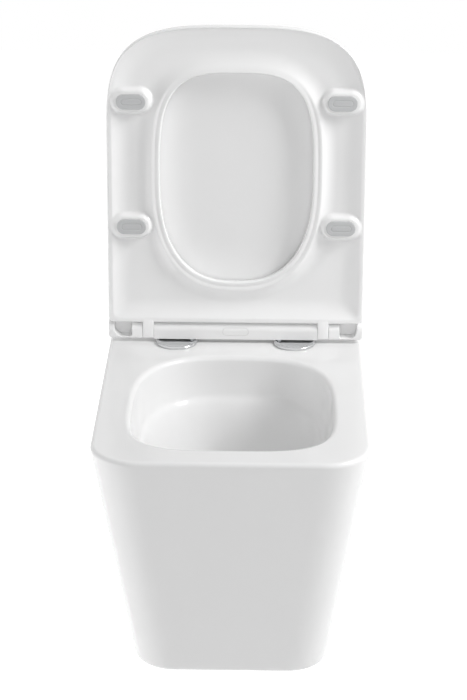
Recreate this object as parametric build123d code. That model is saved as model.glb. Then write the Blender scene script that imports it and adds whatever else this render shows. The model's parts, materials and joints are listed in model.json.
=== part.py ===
from build123d import *
import math
import os

os.makedirs("parts", exist_ok=True)

# Wall hung toilet, millimetres. The wall is the plane y = 0, the front faces -Y and +Z is up.
# The origin is midway between the two wall studs.

# Pan: a tapered box with rounded front corners
PAN_HALF = 172.0
PAN_FRONT = -500.0
PAN_TOP = 80.0
PAN_CORNER = 62.0
FOOT_HALF = 125.0
FOOT_FRONT = -377.0
FOOT_Z = -265.0
FOOT_CORNER = 54.0
SKIN = 10.0
DECK_THICK = 12.0
DECK_EDGE_R = 5.0
FOOT_EDGE_R = 14.0

# Bowl: an upper wall with a soft lip, a ledge, then a funnel
BOWL_MID = -305.0
BOWL_WALL = 9.5
LIP_R = 7.0
LEDGE_Z = 22.0
# height, half width, back and front of each ring of the bowl
RIM_RINGS = ((82.0, 128.5, -131.0, -453.0), (LEDGE_Z, 122.0, -137.0, -446.0))
FUNNEL_RINGS = (
    (LEDGE_Z + 1.0, 110.0, -148.0, -437.0),
    (-40.0, 98.0, -156.0, -408.0),
    (-100.0, 78.0, -164.0, -352.0),
    (-150.0, 58.0, -172.0, -302.0),
    (-190.0, 44.0, -182.0, -268.0),
    (-222.0, 30.0, -195.0, -252.0),
)
RIM_BACK_N = 2.8
RIM_FRONT_N = 3.8

# Trap, waste outlet and flush inlet
TRAP_R = 32.0
TRAP_WALL = 8.0
TRAP_BEND = 42.0
TRAP_LOW_Z = -186.0
TRAP_LEG_Y = -112.0
TRAP_TOP_Z = -66.0
TRAP_END_Y = -66.0
SUMP_Y = -222.0
OUTLET_Z = -100.0
OUTLET_R = 51.0
OUTLET_BORE_R = 43.0
OUTLET_DEEP = 78.0
OUTLET_FREE = 54.0
OUTLET_STEP = 2.0
TRAP_JOIN_LOW_Z = -144.0
TRAP_JOIN_HIGH_Z = -108.0
INLET_Z = 35.0
INLET_BORE_R = 27.5
INLET_R = 37.0
INLET_DEEP = 50.0
SLOT_HALF = 42.0
SLOT_HIGH = 6.0
SLOT_Z = 12.0
MOUTH_Y = -140.0

# Concealed wall fixing
STUD_X = 90.0
STUD_HOLE_R = 6.5
BRACKET_IN = 72.0
BRACKET_OUT = 121.0
BRACKET_DEEP = 31.0
BRACKET_HIGH = 40.0
SIDE_HOLE_Y = -16.0
SIDE_HOLE_R = 12.2
SIDE_SEAT_X = 145.0

# Deck fixings of the hinge
DECK_HOLE_X = 77.5
DECK_HOLE_Y = -80.0
DECK_HOLE_R = 8.0
DISC_X = 80.0
DISC_Y = -80.0
DISC_R = 28.0
DISC_HIGH = 4.0
POST_X = 59.0
POST_Y = -72.5
POST_R = 4.5
POST_TOP = 101.0
GROOVE_Z = 93.0
GROOVE_R = 3.2

# Hinge bar
AXIS_Y = -67.5
AXIS_Z = 96.0
BAR_HALF = 111.0
BAR_R = 11.0
BAR_WALL = 2.0
CAVITY_HALF = 51.0
BASE_THICK = 2.5
DAMPER_R = 8.0
DAMPER_IN = 66.0
SHAFT_R = 4.0
SHAFT_FLATS = 5.6
PIVOT_R = 2.8
RUN = 0.05
GAP = 0.3

# Release button and latches
BUTTON_HALF = 17.4
BUTTON_HIGH = 10.0
PRESS = 3.0
LATCH_LOW = 91.5
LATCH_HIGH = 94.5
PEG_X = 9.5
PEG_Y = -68.1
PEG = 2.4

# Seat and lid, drawn closed: s runs forward from the hinge axis and t down from it
LEAN = 1.5
SEAT_HALF = 172.5
SEAT_REAR = 12.0
SEAT_MID = 270.0
SEAT_TIP = 418.5
SEAT_N = 3.4
SEAT_UNDER = 11.0
SEAT_OVER = -1.0
SEAT_CORNER = 8.0
RIM_LAND = 6.4
TROUGH_DEEP = 7.0
HOLE_HALF = 103.5
HOLE_MID = 215.0
HOLE_TIP = 356.5
HOLE_TIP_N = 3.2
HOLE_REAR_N = 2.35
HOLE_REAR = 69.8
EAR_IN = 111.3
EAR_OUT = 126.0
KNUCKLE_IN = 126.5
POCKET_IN = 141.0
POCKET_OUT = 165.0
POCKET_IN_R = 3.5
POCKET_OUT_R = 11.0
LID_TIP = 419.5
LID_INNER = -3.0
LID_OUTER = -12.0
DISH_DEEP = 5.5
BOSS_LONG = 47.0
BOSS_WIDE = 27.0
BOSS_TOP = 13.4
BUFFER_LONG = 39.5
BUFFER_WIDE = 20.6
BUFFER_TOP = 15.9
BUFFERS = {"front": (139.5, 318.0), "rear": (140.0, 147.5)}
LID_BUFFERS = {"front": (156.0, 330.0), "rear": (156.0, 90.0)}


def save(shape, name):
    solid = shape.solids()[0] if len(shape.solids()) == 1 else Compound(shape.solids())
    solid.label = name
    export_step(solid, os.path.join("parts", name + ".step"))
    print(name, round(shape.volume / 1000, 2), "cm3", len(shape.solids()), shape.is_valid)


def both_sides(shape, name):
    save(shape, name + "_right")
    save(mirror(shape, about=Plane.YZ), name + "_left")


def rod(radius, start, end):
    """A round bar between two points."""
    a = Vector(*start)
    b = Vector(*end)
    return Solid.make_cylinder(radius, (b - a).length, Plane(a, z_dir=b - a))


def block(x0, x1, y0, y1, z0, z1):
    """A box given by its limits."""
    centre = Pos((x0 + x1) / 2, (y0 + y1) / 2, (z0 + z1) / 2)
    return centre * Box(abs(x1 - x0), abs(y1 - y0), abs(z1 - z0))


def one(shape):
    """The largest solid of a shape."""
    return max(shape.solids(), key=lambda s: s.volume)


# Pan


def pan_face(z, half, front, corner, back=0.0):
    """A section of the pan: square at the wall, round at the two front corners."""
    k = corner * (1 - math.sqrt(0.5))
    with BuildLine(Plane.XY.offset(z)) as line:
        Line((-half, back), (half, back))
        Line((half, back), (half, front + corner))
        ThreePointArc((half, front + corner), (half - k, front + k), (half - corner, front))
        Line((half - corner, front), (corner - half, front))
        ThreePointArc((corner - half, front), (k - half, front + k), (-half, front + corner))
        Line((-half, front + corner), (-half, back))
    return make_face(line.line)


def pan_at(z, inset, back=0.0):
    """The pan's tapered section at one height, drawn in from the skin."""
    f = (z - FOOT_Z) / (PAN_TOP - FOOT_Z)
    half = FOOT_HALF + (PAN_HALF - FOOT_HALF) * f - inset
    front = FOOT_FRONT + (PAN_FRONT - FOOT_FRONT) * f + inset
    corner = FOOT_CORNER + (PAN_CORNER - FOOT_CORNER) * f - inset
    return pan_face(z, half, front, corner, back)


def ring(z, half, back, front, grow=0.0, mid=None, n_back=RIM_BACK_N, n_front=RIM_FRONT_N):
    """A closed ring of the bowl: two half super-ellipses joined at its widest line."""
    y_mid = BOWL_MID if mid is None else mid
    points = []
    for i in range(36):
        turn = 2 * math.pi * (i + 0.5) / 36
        c = math.cos(turn)
        s = math.sin(turn)
        n = n_back if s > 0 else n_front
        reach = back + grow - y_mid if s > 0 else y_mid - front + grow
        x = math.copysign(abs(c) ** (2 / n), c) * (half + grow)
        y = math.copysign(abs(s) ** (2 / n), s) * reach
        points.append((x, y_mid + y, z))
    return make_face(Spline(*points, periodic=True))


def funnel(rings, grow, drop=0.0):
    """A loft through the bowl's rings, which turn rounder towards the sump."""
    faces = []
    last = len(rings) - 1
    for i, (z, half, back, front) in enumerate(rings):
        f = i / last
        mid = back + (front - back) * (0.5 + 0.02 * (1 - f))
        n_back = RIM_BACK_N + (2.1 - RIM_BACK_N) * f
        n_front = RIM_FRONT_N + (2.1 - RIM_FRONT_N) * f
        low = drop if i == last else 0.0
        faces.append(ring(z - low, half, back, front, grow, mid, n_back, n_front))
    return loft(faces)


def tube_path():
    """The trap's line: back from the sump, up, over the weir and back to the outlet."""
    with BuildLine() as line:
        FilletPolyline(
            (0, SUMP_Y, TRAP_LOW_Z),
            (0, TRAP_LEG_Y, TRAP_LOW_Z),
            (0, TRAP_LEG_Y, TRAP_TOP_Z),
            (0, TRAP_END_Y, TRAP_TOP_Z),
            radius=TRAP_BEND,
        )
    return line.line


def trap(radius, extra=0.0):
    path = tube_path()
    start = Plane((0, SUMP_Y, TRAP_LOW_Z), z_dir=(0, 1, 0))
    pipe = sweep(start * Circle(radius), path)
    end = rod(radius, (0, TRAP_END_Y - 1, TRAP_TOP_Z), (0, TRAP_END_Y + extra + 0.01, TRAP_TOP_Z))
    return pipe + end


def duct(grow):
    """The flush way: a round inlet drawn out into a flat slot under the ledge."""
    round_end = Plane((0, -INLET_DEEP, INLET_Z), z_dir=(0, -1, 0)) * Circle(INLET_BORE_R + grow)
    mouth_plane = Plane((0, MOUTH_Y, SLOT_Z), x_dir=(1, 0, 0), z_dir=(0, -1, 0))
    slot = mouth_plane * Ellipse(SLOT_HALF + grow, SLOT_HIGH / 2 + grow)
    way = loft([round_end, slot])
    mouth = extrude(slot, 10.0 if grow == 0 else 0.5)
    return way + mouth


# The casting is joined before firing from clay parts: the tapered body with its deck, the bowl
# below the deck, the trap's sump bend, its rising leg and its weir, the waste spigot, and the
# flush duct.

CEILING_Z = PAN_TOP - DECK_THICK
outer = loft([pan_at(PAN_TOP, 0, 2), pan_at(FOOT_Z, 0, 2)], ruled=True)
outer = outer & block(-200, 200, -600, 0, FOOT_Z - 1, PAN_TOP + 1)
outer = one(outer)
deck_edges = outer.edges().filter_by(lambda e: e.center().Z > PAN_TOP - 0.1)
outer = fillet(deck_edges, DECK_EDGE_R)
foot_edges = outer.edges().filter_by(
    lambda e: e.center().Z < FOOT_Z + 0.1 and e.center().Y < -1.0
)
outer = fillet(foot_edges, FOOT_EDGE_R)
hollow = loft([pan_at(CEILING_Z, SKIN, 6), pan_at(FOOT_Z + DECK_THICK, SKIN, 6)], ruled=True)
pillar = block(BRACKET_OUT, 158.0, -BRACKET_DEEP, -1.0, -BRACKET_HIGH / 2, BRACKET_HIGH / 2)
pillars = pillar + mirror(pillar, about=Plane.YZ)

rim_void = loft([ring(*r) for r in RIM_RINGS], ruled=True)
pan = outer - hollow + (pillars & outer) - rim_void
for side in (-1, 1):
    deck_hole = rod(DECK_HOLE_R, (side * DECK_HOLE_X, DECK_HOLE_Y, 60), (side * DECK_HOLE_X, DECK_HOLE_Y, 90))
    screw_way = rod(4.8, (side * 110, SIDE_HOLE_Y, 0), (side * 170, SIDE_HOLE_Y, 0))
    cap_seat = rod(SIDE_HOLE_R, (side * SIDE_SEAT_X, SIDE_HOLE_Y, 0), (side * 180, SIDE_HOLE_Y, 0))
    pan = pan - deck_hole - screw_way - cap_seat
pan = one(pan)
lip = pan.edges().filter_by(
    lambda e: abs(e.center().Z - PAN_TOP) < 0.1 and e.length > 500 and e.bounding_box().size.X < 262
)
pan = fillet(lip, LIP_R)
save(pan, "pan")

rim_body = loft([ring(*r, grow=BOWL_WALL) for r in RIM_RINGS], ruled=True)
rim_body = rim_body & block(-200, 200, -500, 0, LEDGE_Z - 2, CEILING_Z)
ledge_body = extrude(ring(*RIM_RINGS[1], grow=BOWL_WALL), -BOWL_WALL)
bowl_void = funnel(FUNNEL_RINGS, 0)
bowl_body = rim_body + ledge_body + funnel(FUNNEL_RINGS, BOWL_WALL, 11.0)
trap_void = trap(TRAP_R)
inlet_void = rod(INLET_BORE_R, (0, 1, INLET_Z), (0, -INLET_DEEP, INLET_Z)) + duct(0)
bowl = bowl_body - rim_void - bowl_void - trap_void - inlet_void
save(one(bowl), "pan_bowl")

trap_body = trap(TRAP_R + TRAP_WALL, TRAP_WALL)
outlet_body = rod(OUTLET_R, (0, 0, OUTLET_Z), (0, -OUTLET_FREE, OUTLET_Z))
outlet_body = outlet_body + rod(
    OUTLET_R - OUTLET_STEP, (0, -OUTLET_FREE + 1, OUTLET_Z), (0, -OUTLET_DEEP, OUTLET_Z)
)
outlet_void = rod(OUTLET_BORE_R, (0, 1, OUTLET_Z), (0, -OUTLET_DEEP + 10, OUTLET_Z))
trap_tube = trap_body - bowl_body - trap_void - outlet_body - outlet_void
sump_bend = trap_tube & block(-60, 60, -300, 0, FOOT_Z, TRAP_JOIN_LOW_Z)
rising_leg = trap_tube & block(-60, 60, -300, 0, TRAP_JOIN_LOW_Z, TRAP_JOIN_HIGH_Z)
weir = trap_tube & block(-60, 60, -300, 0, TRAP_JOIN_HIGH_Z, 0)
save(one(sump_bend), "pan_trap_bend")
save(one(rising_leg), "pan_trap_leg")
save(one(weir), "pan_trap_weir")
save(one(outlet_body - bowl_body - trap_void - outlet_void), "pan_waste_spigot")

inlet_body = rod(INLET_R, (0, 0, INLET_Z), (0, -INLET_DEEP, INLET_Z)) + duct(INLET_R - INLET_BORE_R)
inlet_body = inlet_body & block(-80, 80, -200, 0, -40, CEILING_Z)
save(one(inlet_body - bowl_body - inlet_void), "pan_flush_duct")

# Concealed wall fixing, one set on each side

bracket = block(
    BRACKET_IN, BRACKET_OUT, -BRACKET_DEEP, 0.0, -BRACKET_HIGH / 2, BRACKET_HIGH / 2
)
bracket = fillet(bracket.edges().filter_by(Axis.Y), 4.0)
bracket = bracket - rod(STUD_HOLE_R, (STUD_X, 1, 0), (STUD_X, -40, 0))
bracket = bracket - rod(4.0, (100.5, SIDE_HOLE_Y, 0), (130, SIDE_HOLE_Y, 0))
both_sides(bracket, "wall_bracket")

side_screw = rod(4.0, (100.5, SIDE_HOLE_Y, 0), (147.5, SIDE_HOLE_Y, 0))
side_screw = chamfer(side_screw.edges().sort_by(Axis.X)[0], 1.2)
side_screw = side_screw + rod(6.5, (147.0, SIDE_HOLE_Y, 0), (152.0, SIDE_HOLE_Y, 0))
socket = Plane((152.0, SIDE_HOLE_Y, 0), z_dir=(-1, 0, 0)) * RegularPolygon(3.4, 6)
side_screw = side_screw - extrude(socket, 3.0)
both_sides(side_screw, "bracket_screw")

washer = rod(11.0, (SIDE_SEAT_X, SIDE_HOLE_Y, 0), (147.0, SIDE_HOLE_Y, 0))
washer = washer - rod(4.0, (140, SIDE_HOLE_Y, 0), (150, SIDE_HOLE_Y, 0))
both_sides(washer, "bracket_washer")

side_cap = rod(SIDE_HOLE_R - 0.2, (152.0, SIDE_HOLE_Y, 0), (175.0, SIDE_HOLE_Y, 0)) & outer
side_cap = one(side_cap) + rod(2.6, (149.5, SIDE_HOLE_Y, 0), (153.0, SIDE_HOLE_Y, 0))
both_sides(side_cap, "side_cap")

# Deck fixing of the hinge, one set on each side: gasket, base plate, cover, post and dowel

GASKET_TOP = PAN_TOP + 0.8
PLATE_TOP = GASKET_TOP + 2.0
DISC_TOP = PAN_TOP + DISC_HIGH
COVER_WALL = 1.4

gasket = rod(DISC_R - 3.0, (DISC_X, DISC_Y, PAN_TOP), (DISC_X, DISC_Y, GASKET_TOP))
gasket = gasket - rod(7.9, (DECK_HOLE_X, DECK_HOLE_Y, 70), (DECK_HOLE_X, DECK_HOLE_Y, 90))
both_sides(gasket, "disc_gasket")

plate = rod(DISC_R - 2.5, (DISC_X, DISC_Y, GASKET_TOP), (DISC_X, DISC_Y, PLATE_TOP))
plate = plate + rod(7.7, (DECK_HOLE_X, DECK_HOLE_Y, 74.0), (DECK_HOLE_X, DECK_HOLE_Y, GASKET_TOP + 0.5))
plate = plate - rod(3.2, (DECK_HOLE_X, DECK_HOLE_Y, 70), (DECK_HOLE_X, DECK_HOLE_Y, 90))
countersink = Pos(DECK_HOLE_X, DECK_HOLE_Y, PLATE_TOP - 1.6) * Cone(3.2, 6.4, 3.2)
plate = plate - countersink - rod(2.5, (POST_X, POST_Y, 70), (POST_X, POST_Y, 90))
both_sides(plate, "base_plate")

cover = rod(DISC_R, (DISC_X, DISC_Y, PAN_TOP), (DISC_X, DISC_Y, DISC_TOP))
cover = chamfer(cover.edges().sort_by(Axis.Z)[-1], 1.0, 1.6)
cover = cover - rod(DISC_R - COVER_WALL, (DISC_X, DISC_Y, 70), (DISC_X, DISC_Y, PLATE_TOP))
cover = cover - rod(POST_R + 0.1, (POST_X, POST_Y, 70), (POST_X, POST_Y, 90))
both_sides(cover, "cover_disc")

post = rod(POST_R, (POST_X, POST_Y, PLATE_TOP), (POST_X, POST_Y, POST_TOP))
post = chamfer(post.edges().sort_by(Axis.Z)[-1], 1.2)
post = post + rod(2.5, (POST_X, POST_Y, GASKET_TOP), (POST_X, POST_Y, PLATE_TOP + 1))
groove = rod(POST_R + 1, (POST_X, POST_Y, GROOVE_Z - 1.6), (POST_X, POST_Y, GROOVE_Z + 1.6))
groove = groove - rod(GROOVE_R, (POST_X, POST_Y, 80), (POST_X, POST_Y, 110))
both_sides(post - groove, "hinge_post")

SCREW_TIP = 34.0
screw_head = Pos(DECK_HOLE_X, DECK_HOLE_Y, PLATE_TOP - 1.7) * Cone(3.0, 6.2, 3.2)
deck_screw = screw_head + rod(3.0, (DECK_HOLE_X, DECK_HOLE_Y, SCREW_TIP), (DECK_HOLE_X, DECK_HOLE_Y, 80.5))
drive = Pos(DECK_HOLE_X, DECK_HOLE_Y, PLATE_TOP - 1.0) * (Box(5.0, 1.2, 2.4) + Box(1.2, 5.0, 2.4))
deck_screw = deck_screw - drive
deck_screw = chamfer(deck_screw.edges().sort_by(Axis.Z)[0], 0.8)
both_sides(deck_screw, "disc_screw")

dowel = rod(7.7, (DECK_HOLE_X, DECK_HOLE_Y, 50.0), (DECK_HOLE_X, DECK_HOLE_Y, 73.8))
dowel = dowel + rod(8.6, (DECK_HOLE_X, DECK_HOLE_Y, 50.0), (DECK_HOLE_X, DECK_HOLE_Y, 66.0))
dowel = dowel - rod(3.2, (DECK_HOLE_X, DECK_HOLE_Y, 40), (DECK_HOLE_X, DECK_HOLE_Y, 90))
both_sides(dowel, "expansion_dowel")

nut = Pos(DECK_HOLE_X, DECK_HOLE_Y, 42.0) * extrude(RegularPolygon(7.0, 6), 8.0)
nut = nut - rod(3.0, (DECK_HOLE_X, DECK_HOLE_Y, 30), (DECK_HOLE_X, DECK_HOLE_Y, 60))
both_sides(nut, "dowel_nut")

# Hinge bar: a D-shaped beam on the two posts, with a damper in each end


def bar_profile(inset):
    """The bar's end view: flat at the front, back and bottom, half round on top."""
    r = BAR_R - inset
    with BuildLine() as line:
        Line((AXIS_Y - r, AXIS_Z), (AXIS_Y - r, AXIS_Z - r))
        Line((AXIS_Y - r, AXIS_Z - r), (AXIS_Y + r, AXIS_Z - r))
        Line((AXIS_Y + r, AXIS_Z - r), (AXIS_Y + r, AXIS_Z))
        ThreePointArc((AXIS_Y + r, AXIS_Z), (AXIS_Y, AXIS_Z + r), (AXIS_Y - r, AXIS_Z))
    return make_face(line.line)


def along_x(sketch, x0, x1):
    """An end view in y and z, pulled from x0 to x1."""
    return extrude(Plane((x0, 0, 0), x_dir=(0, 1, 0), z_dir=(1, 0, 0)) * sketch, x1 - x0)


def stadium(half, high, y0, y1):
    """A level slot shape in the bar's front, pulled from y0 to y1."""
    plane = Plane((0, y0, AXIS_Z), x_dir=(1, 0, 0), z_dir=(0, -1, 0))
    return extrude(plane * SlotOverall(2 * half, high), -(y1 - y0))


BAR_FRONT = AXIS_Y - BAR_R
BAR_BACK = AXIS_Y + BAR_R
BAR_LOW = AXIS_Z - BAR_R
BASE_TOP = BAR_LOW + BASE_THICK

bar = along_x(bar_profile(0), -BAR_HALF, BAR_HALF)
cavity = along_x(bar_profile(BAR_WALL), -CAVITY_HALF, CAVITY_HALF)
cavity = cavity + block(
    -CAVITY_HALF, CAVITY_HALF, BAR_FRONT + BAR_WALL, BAR_BACK - BAR_WALL, BAR_LOW - 1, AXIS_Z
)
bar = bar - cavity
for side in (-1, 1):
    post_way = rod(POST_R + 0.3, (side * POST_X, POST_Y, 80), (side * POST_X, POST_Y, POST_TOP))
    guide = block(
        side * (CAVITY_HALF - 1),
        side * (POST_X - 2),
        POST_Y - 2.5 - GAP,
        POST_Y + 4.5 + GAP,
        LATCH_LOW - GAP,
        LATCH_HIGH + GAP,
    )
    damper_way = rod(DAMPER_R, (side * DAMPER_IN, AXIS_Y, AXIS_Z), (side * 120, AXIS_Y, AXIS_Z))
    boss = block(side * 31 - 4, side * 31 + 4, -65.5, BAR_BACK - 1, BASE_TOP, AXIS_Z + 6)
    tap = rod(1.5, (side * 31, -62.2, 80), (side * 31, -62.2, AXIS_Z))
    bar = bar - post_way - guide - damper_way
    bar = bar + boss - tap
bar = bar - stadium(BUTTON_HALF + GAP, BUTTON_HIGH + 2 * GAP, BAR_FRONT - 1, BAR_FRONT + 2.2 * BAR_WALL)
save(one(bar), "hinge_bar_housing")

base = block(
    -CAVITY_HALF, CAVITY_HALF, BAR_FRONT + BAR_WALL, BAR_BACK - BAR_WALL, BAR_LOW, BASE_TOP
)
for side in (-1, 1):
    rail = block(side * 6, side * 26, -70.5, -67.5, BASE_TOP, LATCH_LOW - GAP)
    rail = rail + block(side * 38, side * 49, -74, -69, BASE_TOP, LATCH_LOW - GAP)
    base = base + rail - rod(1.6, (side * 31, -62.2, 80), (side * 31, -62.2, 90))
    base = base - rod(3.0, (side * 31, -62.2, 80), (side * 31, -62.2, BAR_LOW + 1.4))
save(one(base), "hinge_bar_base")

bar_screw = rod(1.5, (31, -62.2, BAR_LOW + 0.5), (31, -62.2, AXIS_Z - 1))
bar_screw = bar_screw + rod(2.9, (31, -62.2, BAR_LOW), (31, -62.2, BAR_LOW + 1.4))
bar_screw = bar_screw - Pos(31, -62.2, BAR_LOW) * Box(3.4, 0.8, 1.2)
both_sides(bar_screw, "bar_screw")

damper = rod(DAMPER_R, (DAMPER_IN, AXIS_Y, AXIS_Z), (BAR_HALF - 0.5, AXIS_Y, AXIS_Z))
damper = damper - rod(SHAFT_R + RUN, (84.0, AXIS_Y, AXIS_Z), (120, AXIS_Y, AXIS_Z))
both_sides(damper, "damper")

# Release button, latches and return spring

button = stadium(BUTTON_HALF, BUTTON_HIGH, BAR_FRONT, BAR_FRONT + BAR_WALL + GAP + 1.6)
button = button & along_x(bar_profile(0), -30, 30)
flange = stadium(
    BUTTON_HALF + 1.6, BUTTON_HIGH + 3.0, BAR_FRONT + BAR_WALL + GAP, BAR_FRONT + BAR_WALL + GAP + 1.6
)
button = button + (flange & along_x(bar_profile(BAR_WALL + GAP), -30, 30))
TONGUE_END = -63.5
button = button + block(-13.5, 13.5, -75.5, TONGUE_END, LATCH_HIGH + 0.5, LATCH_HIGH + 3.0)
for side in (-1, 1):
    peg = Pos(side * PEG_X, PEG_Y, LATCH_LOW + 1.7) * Rot(0, 0, 45) * Box(PEG, PEG, 3.4)
    button = button + peg
save(one(button), "release_button")

latch = block(5.5, 24.0, -71.3, -60.5, LATCH_LOW, LATCH_HIGH)
latch = latch + block(22.0, 26.0, -75.0, -64.0, LATCH_LOW, LATCH_HIGH)
latch = latch + block(24.0, 55.3, POST_Y - 2.5, POST_Y + 4.5, LATCH_LOW, LATCH_HIGH)
latch = fillet(latch.edges().filter_by(Axis.Z).sort_by(Axis.X)[-2:], 1.0)
slot_mid = (PEG_X + PRESS / 2, PEG_Y + PRESS / 2)
slot_long = PEG + PRESS * math.sqrt(2) + 2 * GAP
slot = Pos(slot_mid[0], slot_mid[1], GROOVE_Z) * Rot(0, 0, 45) * Box(slot_long, PEG + 2 * GAP, 8)
both_sides(latch - slot, "latch")

SPRING_R = 2.0
SPRING_WIRE = 0.5
SPRING_START = TONGUE_END + SPRING_WIRE / 2
SPRING_LONG = BAR_BACK - BAR_WALL - SPRING_WIRE / 2 - 0.3 - SPRING_START
coil = Helix(SPRING_LONG / 4, SPRING_LONG, SPRING_R)
coil_start = Plane(coil @ 0, z_dir=coil % 0)
wire = sweep(coil_start * Circle(SPRING_WIRE / 2), coil, is_frenet=True)
spring = Plane((0, SPRING_START, AXIS_Z + 0.3), z_dir=(0, 1, 0)) * wire
save(spring, "button_spring")

# Seat and lid are drawn closed, then turned up about the hinge axis

HINGE = Axis((0, AXIS_Y, AXIS_Z), (1, 0, 0))


def raised(shape):
    return shape.rotate(HINGE, -(90.0 + LEAN))


def at(x, s, t):
    return (x, AXIS_Y - s, AXIS_Z - t)


def outline(t, inset, tip, corner=SEAT_CORNER):
    """The seat's D-shaped outline: straight sides and a super-elliptic front."""
    half = SEAT_HALF - inset
    reach = tip - SEAT_MID - inset
    rear = SEAT_REAR + inset
    r = max(corner - inset, 1.5)
    k = r * (1 - math.sqrt(0.5))
    arc = []
    for i in range(25):
        turn = math.pi * i / 24
        x = math.copysign(abs(math.cos(turn)) ** (2 / SEAT_N), math.cos(turn)) * half
        s = SEAT_MID + math.sin(turn) ** (2 / SEAT_N) * reach
        arc.append(at(x, s, t))
    arc[-1] = at(-half, SEAT_MID, t)
    tangents = [(0, -1, 0), (0, 1, 0)]
    front = Spline(*arc, tangents=tangents)
    left = Line(at(-half, SEAT_MID, t), at(-half, rear + r, t))
    left_arc = ThreePointArc(
        at(-half, rear + r, t), at(k - half, rear + k, t), at(r - half, rear, t)
    )
    back = Line(at(r - half, rear, t), at(half - r, rear, t))
    right_arc = ThreePointArc(
        at(half - r, rear, t), at(half - k, rear + k, t), at(half, rear + r, t)
    )
    right = Line(at(half, rear + r, t), at(half, SEAT_MID, t))
    return make_face([front, left, left_arc, back, right_arc, right])


def hole(t, grow):
    """The seat's opening: two half super-ellipses of different length."""
    points = []
    for i in range(36):
        turn = 2 * math.pi * (i + 0.5) / 36
        c = math.cos(turn)
        s = math.sin(turn)
        n = HOLE_TIP_N if s > 0 else HOLE_REAR_N
        reach = HOLE_TIP - HOLE_MID + grow if s > 0 else HOLE_MID - HOLE_REAR + grow
        x = math.copysign(abs(c) ** (2 / n), c) * (HOLE_HALF + grow)
        depth = math.copysign(abs(s) ** (2 / n), s) * reach
        points.append(at(x, HOLE_MID + depth, t))
    return make_face(Spline(*points, periodic=True))


def layers(section, levels):
    """A ruled stack of one section at several depths and insets."""
    return loft([section(t, inset) for t, inset in levels], ruled=True)


def seat_outline(t, inset):
    return outline(t, inset, SEAT_TIP)


def lid_outline(t, inset):
    return outline(t, inset, LID_TIP)


def ear_profile():
    """End view of a seat ear: round over the axis, square where it meets the seat."""
    with BuildLine() as line:
        Line((AXIS_Y - 16, AXIS_Z - SEAT_UNDER), (AXIS_Y + 8, AXIS_Z - SEAT_UNDER))
        ThreePointArc(
            (AXIS_Y + 8, AXIS_Z - 11), (AXIS_Y + 10.12, AXIS_Z - 10.12), (AXIS_Y + 11, AXIS_Z - 8)
        )
        Line((AXIS_Y + 11, AXIS_Z - 8), (AXIS_Y + 11, AXIS_Z))
        ThreePointArc((AXIS_Y + 11, AXIS_Z), (AXIS_Y, AXIS_Z + 11), (AXIS_Y - 10.95, AXIS_Z + 1))
        Line((AXIS_Y - 10.95, AXIS_Z + 1), (AXIS_Y - 16, AXIS_Z + 1))
        Line((AXIS_Y - 16, AXIS_Z + 1), (AXIS_Y - 16, AXIS_Z - SEAT_UNDER))
    return make_face(line.line)


def knuckle_profile():
    """End view of a lid corner: round on three sides of the axis, joined to the lid."""
    with BuildLine() as line:
        Line((AXIS_Y, AXIS_Z - 11), (AXIS_Y + 8, AXIS_Z - 11))
        ThreePointArc(
            (AXIS_Y + 8, AXIS_Z - 11), (AXIS_Y + 10.12, AXIS_Z - 10.12), (AXIS_Y + 11, AXIS_Z - 8)
        )
        Line((AXIS_Y + 11, AXIS_Z - 8), (AXIS_Y + 11, AXIS_Z))
        EllipticalCenterArc((AXIS_Y, AXIS_Z), 11, -LID_OUTER, start_angle=0, arc_size=90)
        Line((AXIS_Y, AXIS_Z - LID_OUTER), (AXIS_Y - 22, AXIS_Z - LID_OUTER))
        Line((AXIS_Y - 22, AXIS_Z - LID_OUTER), (AXIS_Y - 22, AXIS_Z - LID_INNER))
        Line((AXIS_Y - 22, AXIS_Z - LID_INNER), (AXIS_Y - 11, AXIS_Z - LID_INNER))
        Line((AXIS_Y - 11, AXIS_Z - LID_INNER), (AXIS_Y - 11, AXIS_Z))
        ThreePointArc((AXIS_Y - 11, AXIS_Z), (AXIS_Y - 7.778, AXIS_Z - 7.778), (AXIS_Y, AXIS_Z - 11))
    return make_face(line.line)


def pocket_face():
    """The moulding pocket in a lid corner: square at the lid, widely rounded at its outer corner."""
    y0 = AXIS_Y - 12.0
    y1 = AXIS_Y + 8.5
    k = 1 - math.sqrt(0.5)
    r0 = POCKET_IN_R
    r1 = POCKET_OUT_R
    with BuildLine(Plane.XY.offset(AXIS_Z - 12)) as line:
        Line((POCKET_OUT, y0), (POCKET_IN, y0))
        Line((POCKET_IN, y0), (POCKET_IN, y1 - r0))
        ThreePointArc(
            (POCKET_IN, y1 - r0), (POCKET_IN + k * r0, y1 - k * r0), (POCKET_IN + r0, y1)
        )
        Line((POCKET_IN + r0, y1), (POCKET_OUT - r1, y1))
        ThreePointArc(
            (POCKET_OUT - r1, y1), (POCKET_OUT - k * r1, y1 - k * r1), (POCKET_OUT, y1 - r1)
        )
        Line((POCKET_OUT, y1 - r1), (POCKET_OUT, y0))
    return make_face(line.line)


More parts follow.
